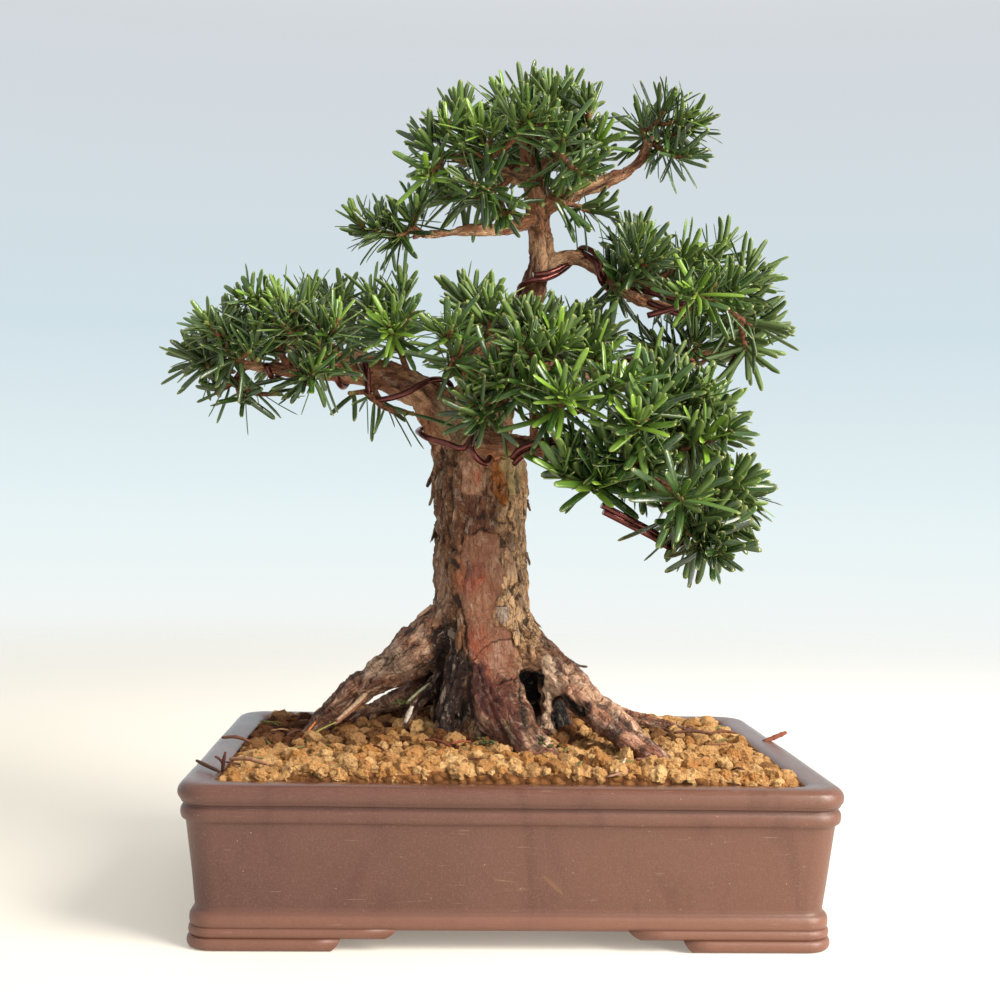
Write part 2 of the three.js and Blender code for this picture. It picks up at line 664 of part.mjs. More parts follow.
// A twig from one point to another, bowed so that it clears what is already there.
function routeTwig(start, end, skip, owner) {
  const span = end.clone().sub(start);
  const side = span.clone().cross(UP).normalize();
  const rise = side.clone().cross(span).normalize();
  let best = null;
  for (let i = 0; i < 33 && !(best && best.room >= ROOM); i += 1) {
    const ring = Math.ceil(i / 8);
    const angle = i * Math.PI / 4 + ring * 0.4;
    const middle = start.clone().addScaledVector(span, 0.5)
      .addScaledVector(rise, -0.1 * span.length() + 2.4 * ring * Math.sin(angle))
      .addScaledVector(side, 2.4 * ring * Math.cos(angle));
    const curve = new THREE.CatmullRomCurve3([start, middle, end], false, 'centripetal');
    const first = Math.min(skip / span.length(), 0.6);
    let room = Infinity;
    for (let piece = 0; piece < 4; piece += 1) {
      const from = curve.getPointAt(first + (1 - first) * piece / 4);
      const to = curve.getPointAt(first + (1 - first) * (piece + 1) / 4);
      room = Math.min(room, roomAround(from, to, TWIG_RADIUS, owner, ROOM));
    }
    if (!best || room > best.room) best = { room, curve };
  }
  return best.curve;
}

// Where a needle ends and how it lies, worked out from the twig's face that it grows from.
function aimNeedle(face, twig, back, owner, placed, random) {
  const root = face[0].clone().add(face[1]).add(face[2]).divideScalar(3);
  const outwards = root.clone().sub(twig.middle);
  outwards.addScaledVector(twig.tangent, -outwards.dot(twig.tangent)).normalize();
  const forwards = twig.tangent.clone().addScaledVector(UP, UP_TURN).normalize();
  const across = twig.tangent.clone().cross(outwards);
  const length = NEEDLE_LENGTH * (0.88 + 0.24 * random());
  const polar = 0.6 + 0.7 * back;
  for (let attempt = 0; attempt < 11; attempt += 1) {
    const turn = Math.ceil(attempt / 2) * (attempt % 2 ? 0.16 : -0.16);
    const spread = polar + (attempt > 5 ? 0.2 : 0);
    const direction = forwards.clone().multiplyScalar(Math.cos(spread))
      .addScaledVector(outwards, Math.sin(spread) * Math.cos(turn))
      .addScaledVector(across, Math.sin(spread) * Math.sin(turn))
      .normalize();
    if (Math.abs(direction.z) > 0.98 || direction.dot(outwards) < 0.25) continue;
    const start = root.clone().addScaledVector(direction, 1);
    const heart = root.clone().addScaledVector(direction, length * 0.3);
    const end = root.clone().addScaledVector(direction, length);
    if (roomAround(start, end, NEEDLE_WIDTH / 2, owner, GAP) < GAP) continue;
    if (placed.some((other) => stretchDistance(heart, end, other.start, other.end) < NEEDLE_WIDTH)) continue;
    placed.push({ start: heart, end });
    taken.push({ owner, start, end, radius: NEEDLE_WIDTH / 2 });
    return { root, direction, length };
  }
  return null;
}

// The two edges of a needle where it is widest, which lie a little above its middle line.
function needleEdges(root, direction, length) {
  const side = direction.clone().cross(UP).normalize();
  const top = side.clone().cross(direction).normalize();
  const centre = root.clone().addScaledVector(direction, length * 0.62).addScaledVector(top, NEEDLE_RISE);
  return {
    top,
    left: centre.clone().addScaledVector(side, -NEEDLE_WIDTH / 2),
    right: centre.clone().addScaledVector(side, NEEDLE_WIDTH / 2),
  };
}

// A three-sided twig with a pointed bud, most of whose faces near its end run out into needles.
function leafyTwig(curve, radius, bare, owner, placed, random) {
  const length = curve.getLength();
  const leafy = Math.min(NEEDLE_RINGS * NEEDLE_SPACING, length * 0.7);
  const stations = bare > 1 ? [0, 0.5 * (1 - leafy / length)] : [0];
  for (let i = 0; i <= NEEDLE_RINGS; i += 1) {
    stations.push(1 - leafy / length * (1 - i / NEEDLE_RINGS));
  }
  const frames = curve.computeFrenetFrames(40, false);
  const vertices = [];
  stations.forEach((u, level) => {
    const index = Math.round(u * 40);
    const thick = radius * (1 - 0.35 * u);
    for (let i = 0; i < TWIG_SIDES; i += 1) {
      const angle = (i / TWIG_SIDES) * 2 * Math.PI + level * 0.5;
      vertices.push(curve.getPointAt(u)
        .addScaledVector(frames.normals[index], thick * Math.cos(angle))
        .addScaledVector(frames.binormals[index], thick * Math.sin(angle)));
    }
  });
  const bud = vertices.length;
  vertices.push(curve.getPointAt(1).addScaledVector(frames.tangents[40], 2 * radius));
  const triangles = [[0, 2, 1]];
  const grow = (corners, u, back) => {
    const face = corners.map((corner) => vertices[corner]);
    const middle = curve.getPointAt(u);
    const needle = aimNeedle(face, { middle, tangent: curve.getTangentAt(u) }, back, owner, placed, random);
    if (!needle) {
      triangles.push(corners);
      return;
    }
    // The needle is flat above, and has a ridge below from its root's lowest corner to its point.
    const { top, left, right } = needleEdges(needle.root, needle.direction, needle.length);
    const heights = face.map((point) => point.dot(top));
    const ridge = heights.indexOf(Math.min(...heights));
    const [a, b, c] = [1, 2, 0].map((turn) => corners[(ridge + turn) % 3]);
    const [l, r, tip] = [0, 1, 2].map((i) => vertices.length + i);
    vertices.push(left, right, needle.root.clone().addScaledVector(needle.direction, needle.length));
    triangles.push([a, b, r], [a, r, l], [l, r, tip], [b, c, r], [c, tip, r], [c, a, l], [c, l, tip]);
  };
  for (let level = 0; level < stations.length - 1; level += 1) {
    for (let i = 0; i < TWIG_SIDES; i += 1) {
      const next = (i + 1) % TWIG_SIDES;
      const [a, b] = [level * TWIG_SIDES + i, level * TWIG_SIDES + next];
      const [c, d] = [a + TWIG_SIDES, b + TWIG_SIDES];
      const ring = level - bare;
      triangles.push([a, d, c]);
      if (ring >= 0 && i !== ring % TWIG_SIDES) grow([a, b, d], stations[level], 1 - ring / NEEDLE_RINGS);
      else triangles.push([a, b, d]);
    }
  }
  for (let i = 0; i < TWIG_SIDES; i += 1) {
    const low = bud - TWIG_SIDES;
    const corners = [low + i, low + (i + 1) % TWIG_SIDES, bud];
    if (i === 0) grow(corners, 1, 0);
    else triangles.push(corners);
  }
  return solidFrom(vertices, triangles);
}

// A spray: a forked twig that grows from a branch, with a rosette of needles at each of its tips.
function makeSpray(owner, tips, bearers, limbs, used, random) {
  const [first, ...others] = tips.map(vector);
  const bud = findBud(first, bearers, limbs, used);
  const stem = routeTwig(bud.point, first, bud.inside + TWIG_RADIUS + 1, owner);
  const twigs = [stem];
  const leafless = 1 - (NEEDLE_RINGS * NEEDLE_SPACING + 3) / stem.getLength();
  others.forEach((tip, index) => {
    const fork = stem.getPointAt(Math.max(0.3, Math.min(0.4 + 0.18 * index, leafless)));
    twigs.push(routeTwig(fork, tip, TWIG_RADIUS + 1, owner));
  });
  twigs.forEach((twig) => takeCurve(owner, twig, () => TWIG_RADIUS, 4));
  const placed = [];
  return twigs.map((twig, index) => leafyTwig(
    twig, TWIG_RADIUS * (index ? 0.85 : 1), index ? 1 : 2, owner, placed, random));
}

const MATERIALS = {
  pot: { color: 0x7d5f57, roughness: 0.6 },
  screen: { color: 0x26282a, roughness: 0.7 },
  soil: { color: 0xb98547, roughness: 0.95 },
  wood: { color: 0x8a6550, roughness: 0.85 },
  wire: { color: 0x5c2f28, roughness: 0.4, metalness: 0.8 },
  needles: { color: 0x2f5a38, roughness: 0.5 },
};

const limbs = Object.fromEntries(Object.entries(LIMBS).map(([name, limb]) => [name, makeLimb(limb)]));
const wires = wireRoutes(limbs);
const gaps = FATTER.map((more) => GAP + more);
const fatWires = gaps.map((gap) => Manifold.union(
  Object.values(wires).map((points) => wireSolid(points, gap))));
const fatWood = gaps.map((gap) => Manifold.union(
  Object.values(limbs).map((limb) => limb.solid(gap))));
const fatBranches = gaps.map((gap, index) => fatWood[index].add(fatWires[index]));

// The trunk's head was sawn off level, and the wood below the cut was carved out in front.
const sawCut = toSolid(new THREE.BoxGeometry(...SAW_CUT.size).translate(...SAW_CUT.middle));
const hollowCut = toSolid(
  new THREE.SphereGeometry(1, 10, 6).scale(...HOLLOW.radii).translate(...HOLLOW.middle));
const trunkSolid = limbs.trunk.solid().subtract(sawCut).subtract(hollowCut);
const wood = Manifold.union(Object.entries(limbs).map(
  ([name, limb]) => (name === 'trunk' ? trunkSolid : limb.solid())));

for (const [name, limb] of Object.entries(limbs)) {
  takeCurve(name, limb.curve, limb.radiusAt, Math.ceil(limb.length / 6));
}
for (const [name, points] of Object.entries(wires)) {
  const curve = new THREE.CatmullRomCurve3(points, false, 'centripetal');
  takeCurve(name, curve, () => WIRE_RADIUS, points.length * 2);
}

const tree = new THREE.Group();
tree.add(makeMesh('tree_wood', joinAndClear([wood], fatWires), MATERIALS.wood));
for (const [name, points] of Object.entries(wires)) {
  tree.add(makeMesh(name, wireSolid(points), MATERIALS.wire));
}

const random = makeRandom(11);
const buds = [];
for (const [pad, sprays] of Object.entries(PADS)) {
  sprays.forEach((tips, index) => {
    const name = `spray_${pad}_${index + 1}`;
    const solids = makeSpray(name, tips, BEARERS[pad], limbs, buds, random);
    tree.add(makeMesh(name, joinAndClear(solids, fatBranches), MATERIALS.needles));
  });
}

const potted = new THREE.Group();
const screens = [-DRAIN_OFFSET, DRAIN_OFFSET];
const soil = makeSoil().subtract(Manifold.union(screens.map((x) => makeScreen(x, GAP))));
potted.add(makeMesh('pot', makePot(), MATERIALS.pot));
screens.forEach((x, index) => {
  potted.add(makeMesh(`drain_screen_${index + 1}`, makeScreen(x), MATERIALS.screen));
});
potted.add(makeMesh('soil', joinAndClear([soil], fatWood), MATERIALS.soil));

const group = new THREE.Group();
group.add(potted, tree);
group.position.set(POT_X, POT_Y, 0);

export default group;
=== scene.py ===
"""Looks of a japanese yew bonsai in a mound of clay granules in an unglazed rectangular pot.

Shapes are worked out in millimetres about the middle of the pot's underside, and turned into metres
in the part's own frame when a piece is made.
"""
import math
import random

import bmesh
import bpy
import numpy as np
from mathutils import Matrix, Vector, noise


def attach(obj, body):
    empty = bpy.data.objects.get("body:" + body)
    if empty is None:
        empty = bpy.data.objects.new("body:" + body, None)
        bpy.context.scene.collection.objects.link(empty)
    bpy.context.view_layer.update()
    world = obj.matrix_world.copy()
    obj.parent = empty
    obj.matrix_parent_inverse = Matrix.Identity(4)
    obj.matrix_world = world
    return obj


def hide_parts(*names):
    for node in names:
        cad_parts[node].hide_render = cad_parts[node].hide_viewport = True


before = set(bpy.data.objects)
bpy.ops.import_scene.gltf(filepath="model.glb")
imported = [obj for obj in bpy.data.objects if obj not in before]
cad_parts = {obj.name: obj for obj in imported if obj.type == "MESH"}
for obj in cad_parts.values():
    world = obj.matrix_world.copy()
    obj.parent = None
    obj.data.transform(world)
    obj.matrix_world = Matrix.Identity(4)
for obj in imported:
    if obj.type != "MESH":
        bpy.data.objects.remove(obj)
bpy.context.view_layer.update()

# Measures in millimetres. POT_X is where the pot's middle is in the part's frame.
POT_X = 10.0
POT_LENGTH = 240.0
POT_DEPTH = 185.0
POT_CORNER = 12.0
POT_UNDERSIDE = 7.2
POT_FLOOR = 12.0
RIM_WIDTH = 13.0
DRAIN_HOLES = (-54, 54)
DRAIN_RADIUS = 11
DRAIN_SIDES = 32
WIRE_RADIUS = 1.25
WIRE_SIDES = 12
TWIG_RADIUS = 1.5
TWIG_SIDES = 7
BUD_RADIUS = 1.05
WOOD_VOXEL = 0.85
# The height from which the wood is a piece of its own, and the kinds of wood.
BRANCHES_FROM = 175
TRUNK, ROOT, BRANCH = range(3)

UP = np.array((0.0, 0.0, 1.0))
GOLDEN_ANGLE = math.pi * (3 - math.sqrt(5))

# The camera: its place in the part's frame, its yaw, pitch and roll in degrees, and its focal length as a
# share of the picture's width.
CAMERA_PLACE = np.array((-23.0, -593.2, 157.7))
CAMERA_TURN = (2.87, 0.28, 1.12)
CAMERA_FOCUS = 1.429
SENSOR_WIDTH = 36

# Lamps: name, place and target in metres, width and power. Both have the same colour.
LAMPS = (
    ("key", (1.15, -0.75, 1.02), (0, 0, 0.15), 0.9, 40),
    ("low", (1.05, -0.95, 0.34), (0, 0, 0.11), 0.5, 11),
)
LAMP_COLOUR = (1.0, 0.96, 0.88)

# Seeds of the random draws, and how many bits, tufts in a clump of moss and flakes are drawn.
GRAIN_SEED, FLAKE_SEED, LITTER_SEED, NEEDLE_SEED = 7, 23, 31, 11
BIT_COUNT, TUFT_COUNT, FLAKE_COUNT = 46, 22, 70

# The clay's colours, as amounts of light.
CLAY_DARK = (0.084, 0.033, 0.023)
CLAY_PALE = (0.116, 0.048, 0.034)
# CLAY_LIT_RIGHT is painted light: the pot's right end is painted lighter and warmer, as if lit from the
# right.
CLAY_LIT_RIGHT = (0.136, 0.056, 0.034)
CLAY_RUN = (0.076, 0.027, 0.018)
CLAY_GRIT = (0.230, 0.120, 0.086)
CLAY_GROOVE_SHADE = (0.060, 0.024, 0.017)

# Heights and widths, in metres, of the pot's grooves, which are painted darker as painted shade.
GROOVES = ((0.0512, 0.0010), (0.0131, 0.0009), (0.0079, 0.0006), (0.0043, 0.0005))

# How the trunk's head is cut: the box that is sawn away, and the place and radii of the hollow in front.
HEAD_CUT = ((-3, -28, 181.5), (27, 16, 201.5))
HOLLOW_PLACE, HOLLOW_RADII = (-1, -25, 170), (9, 8, 14)

# Branches and roots, base first: x, y, z and radius of each point.
LIMBS = {
    "trunk": [(-4, -5, 44, 24), (-5, -5, 58, 25), (-7, -4, 71, 22), (-8, -3, 86, 20.5), (-9, -2, 104, 19.8),
              (-10, -2, 123, 19), (-11, -1, 142, 18.6), (-11, -1, 160, 19.3), (-12, 0, 174, 19.4),
              (-13, 1, 181, 16.5), (-14, 2, 187, 11), (-14, 3, 190, 6)],
    "leader": [(-14, 4, 174, 13), (-11, 6, 190, 12.5), (-6, 9, 206, 10), (0, 10, 225, 7.6), (7, 9, 243, 6.2),
               (12, 7, 259, 5.6), (12, 6, 272, 4.9), (10, 4, 285, 6), (7, 2, 298, 4.8), (4, 0, 313, 2.8)],
    "left": [(-17, 2, 172, 13), (-21, 1, 185, 12.5), (-29, -1, 196, 9.8), (-37, -4, 204, 7.6),
             (-48, -6, 209, 6.3), (-60, -7, 211, 4.5), (-76, -8, 211, 3.4), (-92, -9, 212, 2.8),
             (-105, -11, 213, 2.2), (-117, -12, 214, 1.7)],
    "front": [(-18, -2, 178, 7), (-15, -12, 182, 6.2), (-3, -20, 182.5, 5.1), (13, -28, 181, 4.3),
              (23, -35, 177, 3.7), (35, -44, 174, 3.3), (47, -53, 171, 2.7), (58, -62, 164, 2)],
    "front_fork": [(38, -46, 173, 2.6), (50, -40, 178, 2.3), (62, -33, 184, 2), (72, -27, 191, 1.6)],
    "upright": [(9, -26, 181, 2.3), (8, -32, 195, 2), (8, -36, 208, 1.8), (13, -36, 219, 1.5)],
    "centre": [(-15, -4, 186, 4.4), (-19, -18, 197, 3.6), (-18, -28, 210, 2.9), (-10, -30, 225, 2)],
    "upper_right": [(12, 7, 258, 4.4), (26, 4, 263, 3.6), (35, 1, 259, 3.3), (45, -4, 249, 2.9),
                    (57, -8, 243, 2.5), (73, -8, 240, 2.1), (88, -6, 244, 1.7)],
    "upper_back": [(40, -2, 254, 2.7), (52, 10, 253, 2.4), (64, 20, 252, 2.1), (76, 27, 251, 1.7)],
    "back_right": [(-2, 10, 222, 4.6), (12, 19, 217, 3.9), (30, 27, 217, 3.5), (48, 31, 218, 3.3),
                   (64, 33, 220, 3.1), (82, 33, 226, 2.7), (98, 31, 232, 2.1)],
    "mid_back": [(-5, 10, 209, 4.2), (-4, 28, 218, 3.4), (1, 42, 224, 2.7), (9, 54, 228, 2)],
    "left_back": [(-34, -2, 204, 4.4), (-46, 10, 213, 3.6), (-61, 20, 219, 3), (-80, 25, 222, 2.4),
                  (-98, 26, 224, 1.7)],
    "crown_right": [(10, 4, 281, 4), (27, 0, 290, 3.5), (40, -2, 295, 3.1), (52, -2, 303, 2.6),
                    (57, -1, 314, 1.9)],
    "crown_low": [(10, 3, 279, 3.6), (-5, -3, 272.5, 2.8), (-18, -7, 271, 2.3), (-31, -9, 269, 1.9),
                  (-42, -10, 267, 1.5)],
    "crown_left": [(7, 2, 294, 3.5), (-5, -8, 294, 2.9), (-15, -11, 296, 2.4), (-26, -12, 300, 1.8)],
    "crown_front": [(7, 2, 296, 3.2), (12, -12, 298, 2.5), (15, -23, 300, 1.8)],
    "crown_back": [(7, 2, 297, 3.4), (8, 16, 305, 2.6), (8, 28, 314, 1.9)],
    "root_left": [(-10, -2, 126, 11), (-16, -2, 115, 12.6), (-25, -2, 106, 12.2), (-34, -2, 100.5, 10.8),
                  (-44, -1, 93, 9), (-54, 0, 85.5, 7.2), (-64, 2, 77, 5.9), (-75, 3, 67, 4.6),
                  (-84, 3, 57, 3.5), (-90, 3, 48, 2.4)],
    "root_left_low": [(-12, 3, 100, 9), (-27, 6, 87, 6), (-42, 8, 78, 4.3), (-57, 11, 69, 3.5),
                      (-70, 13, 59, 2.9), (-78, 14, 50, 2.2)],
    "root_fork": [(-24, -6, 90, 4), (-33, -10, 82, 2.9), (-38, -12, 74, 2.3), (-41, -14, 62, 2),
                  (-42, -15, 54, 1.7)],
    "root_flake": [(-13, -8, 112, 8), (-18, -14, 94, 7), (-22, -20, 76, 5.6), (-25, -25, 50, 4)],
    "root_front": [(-5, -4, 118, 11), (-5.5, -9, 102, 12.2), (-4.5, -18, 86, 11.8), (0, -29, 73, 10.4),
                   (10, -41, 63, 8.2), (20, -50, 53, 5.6)],
    "root_web": [(5, -2, 100, 9), (13, -3, 85, 9), (20, -4, 70, 8.5), (26, -4, 52, 8)],
    "root_middle": [(11, -6, 104, 5), (16, -16, 86, 3.6), (17, -22, 70, 3.2), (16, -25, 50, 3.2)],
    "root_right": [(-4, -1, 124, 10), (0, -3, 110, 11.2), (9, -7, 99, 10.2), (20, -15, 91, 8.2),
                   (32, -26, 80, 7), (45, -38, 70, 6.3), (56, -47, 62, 5.2), (65, -53, 51, 3.6)],
    "root_right_back": [(-2, 4, 112, 9), (6, 6, 97, 7.6), (21, 9, 82, 5.6), (42, 14, 72, 3.8),
                        (64, 20, 67, 2.8), (84, 25, 62, 2.4), (101, 28, 55, 1.9)],
    "root_back": [(-8, 1, 120, 11), (-5, 8, 104, 12.4), (1, 19, 88, 10.4), (9, 32, 74, 7.2),
                  (18, 48, 56, 4.2)],
    "root_back_left": [(-12, 3, 110, 12), (-19, 13, 93, 9.6), (-29, 28, 76, 6.6), (-40, 44, 57, 3.6)],
}

# Branches that carry the foliage of each pad.
BEARERS = {
    "left": ("left", "left_back"),
    "centre": ("leader", "front", "upright", "centre", "mid_back", "back_right"),
    "low_right": ("front", "front_fork", "upright"),
    "upper_right": ("upper_right", "upper_back", "back_right"),
    "crown": ("leader", "crown_right", "crown_low", "crown_left", "crown_front", "crown_back"),
}

# Tips of the shoots of each spray, grouped by the foliage pad that they belong to.
PADS = {
    "left": [
        [(-83, -10, 243), (-70, 12, 245)],
        [(-98, -20, 235), (-85, -32, 232)],
        [(-112, -12, 231), (-122, 4, 227)],
        [(-114, -32, 223), (-103, -38, 216)],
        [(-126, -14, 219), (-131, -2, 215), (-121, -24, 211)],
        [(-74, -38, 223), (-90, -40, 226), (-82, -34, 207)],
        [(-46, -8, 243), (-58, 2, 246), (-50, -30, 228)],
        [(-119, -10, 202), (-107, -22, 198), (-95, -6, 202)],
        [(-65, -20, 202), (-49, -14, 197), (-40, -26, 194)],
        [(-70, 36, 240), (-56, 34, 238)],
        [(-96, 32, 235), (-116, 24, 230), (-104, 36, 217)],
    ],
    "centre": [
        [(-10, -22, 238), (-21, -10, 243)],
        [(-28, -32, 225), (-27, -38, 211)],
        [(5, -28, 233), (22, -20, 232)],
        [(36, -14, 231), (33, -34, 217)],
        [(-10, -44, 211), (-12, -42, 194)],
        [(19, -62, 199), (36, -58, 204)],
        [(17, -44, 222), (1, -50, 219), (4, -52, 203)],
        [(24, 32, 234), (40, 44, 230)],
        [(-14, 34, 234), (2, 52, 232), (-8, 52, 216)],
    ],
    "low_right": [
        [(59, -76, 162)],
        [(70, -67, 145), (83, -48, 152)],
        [(86, -50, 167), (93, -32, 164)],
        [(74, -46, 186), (83, -22, 198)],
        [(50, -64, 177), (43, -68, 189), (33, -62, 177)],
        [(29, -60, 165), (17, -58, 170)],
        [(68, -30, 203), (54, -44, 200), (56, -12, 214)],
        [(76, -8, 184), (58, -8, 188)],
    ],
    "upper_right": [
        [(54, -4, 267), (55, 14, 272)],
        [(75, 2, 266), (88, 18, 267)],
        [(42, -18, 249), (50, -26, 257)],
        [(89, -18, 250), (99, -2, 259), (71, -32, 244)],
        [(109, 6, 236), (105, 22, 226)],
        [(80, 14, 234), (64, 24, 230)],
        [(72, 42, 262), (92, 38, 250)],
    ],
    "crown": [
        [(-23, -6, 320), (-31, -10, 309)],
        [(-15, -28, 308), (4, -34, 312)],
        [(-36, -18, 301), (-36, -24, 289)],
        [(-6, -8, 324), (5, 4, 329)],
        [(15, -14, 325), (25, 6, 328)],
        [(31, -14, 320), (33, -22, 304)],
        [(17, -38, 303), (24, -34, 290)],
        [(19, -18, 281), (31, -6, 282)],
        [(-14, -28, 284), (-6, -18, 276), (-27, 6, 289)],
        [(53, 4, 320), (62, -8, 325), (75, -5, 317), (66, -6, 305)],
        [(-44, -12, 275), (-60, -5, 269), (-47, -18, 266)],
        [(-6, 34, 326), (20, 36, 328), (34, 26, 308)],
        [(9, 44, 311), (-16, 32, 309)],
    ],
}

# Sprays of thin, open growth under the left branch, and how far apart needles spring from the other twigs
# and from theirs.
SPARSE_SPRAYS = {("left", 8), ("left", 7)}
NEEDLE_SPACING = 1.02
SPARSE_SPACING = 2.0

# Parts of the front view that no needle covers: the gap beside the left pad with the bare branch below it,
# the leader, a gap beside the crown, and the trunk. Outlines in x and z.
BARE_PLACES = [
    [(-38, 262), (-32, 262), (-30, 250), (-32.5, 241), (-37, 238), (-39, 246)],
    [(-55, 213), (-44, 219), (-36, 213), (-32.5, 204), (-33, 186), (-39, 186), (-44, 200), (-55, 203)],
    [(-35, 264), (-18, 266), (4.6, 268), (8, 280), (16, 280), (18.4, 269.4), (26, 263.4), (36.6, 260.7),
     (39.3, 249), (37, 245), (20, 246), (13.8, 250.5), (-0.8, 249.7), (-5.2, 259.6), (-17.7, 259.2),
     (-26, 256.5), (-34, 258.8)],
    [(35.4, 345), (41, 345), (42.7, 333), (46.3, 321.3), (44.7, 319.5), (38, 324), (35, 332.6)],
    [(-31, 180), (9.3, 178.3), (14, 176), (16, 150), (20, 120), (-30, 118.6)],
    [(30, 162), (59, 153), (58, 147), (28, 152)],
    [(92, 219), (100.5, 238), (105, 238), (98.5, 218)],
]

# Stretches of bare twig and wire that have needles only behind them. Outlines in x and z.
BARE_TWIGS = [
    [(-118, 218), (-104, 221), (-88, 218), (-92, 211), (-104, 209), (-117, 211)],
    [(-79, 210), (-68, 211), (-57, 208), (-57, 202), (-66, 202), (-76, 204)],
    [(-27.7, 303.5), (-18.4, 297.3), (-5.9, 296.9), (6.4, 303.6), (13.7, 299.6), (8.8, 294.2), (-5.8, 292.2),
     (-21.7, 295)],
    [(6, 291), (8.5, 292.3), (17.5, 292.8), (19.4, 287), (52.6, 303.9), (55.2, 298.9), (29.8, 284.4),
     (19.5, 279), (18, 270), (6.5, 270)],
    [(36.6, 260.7), (45.1, 253.5), (66, 246), (66, 240), (50, 243), (36.8, 251.1)],
]

# Needles that spring from in front of this y are left out there.
BARE_PLACES_DEPTH = 24
BARE_TWIGS_DEPTH = 3

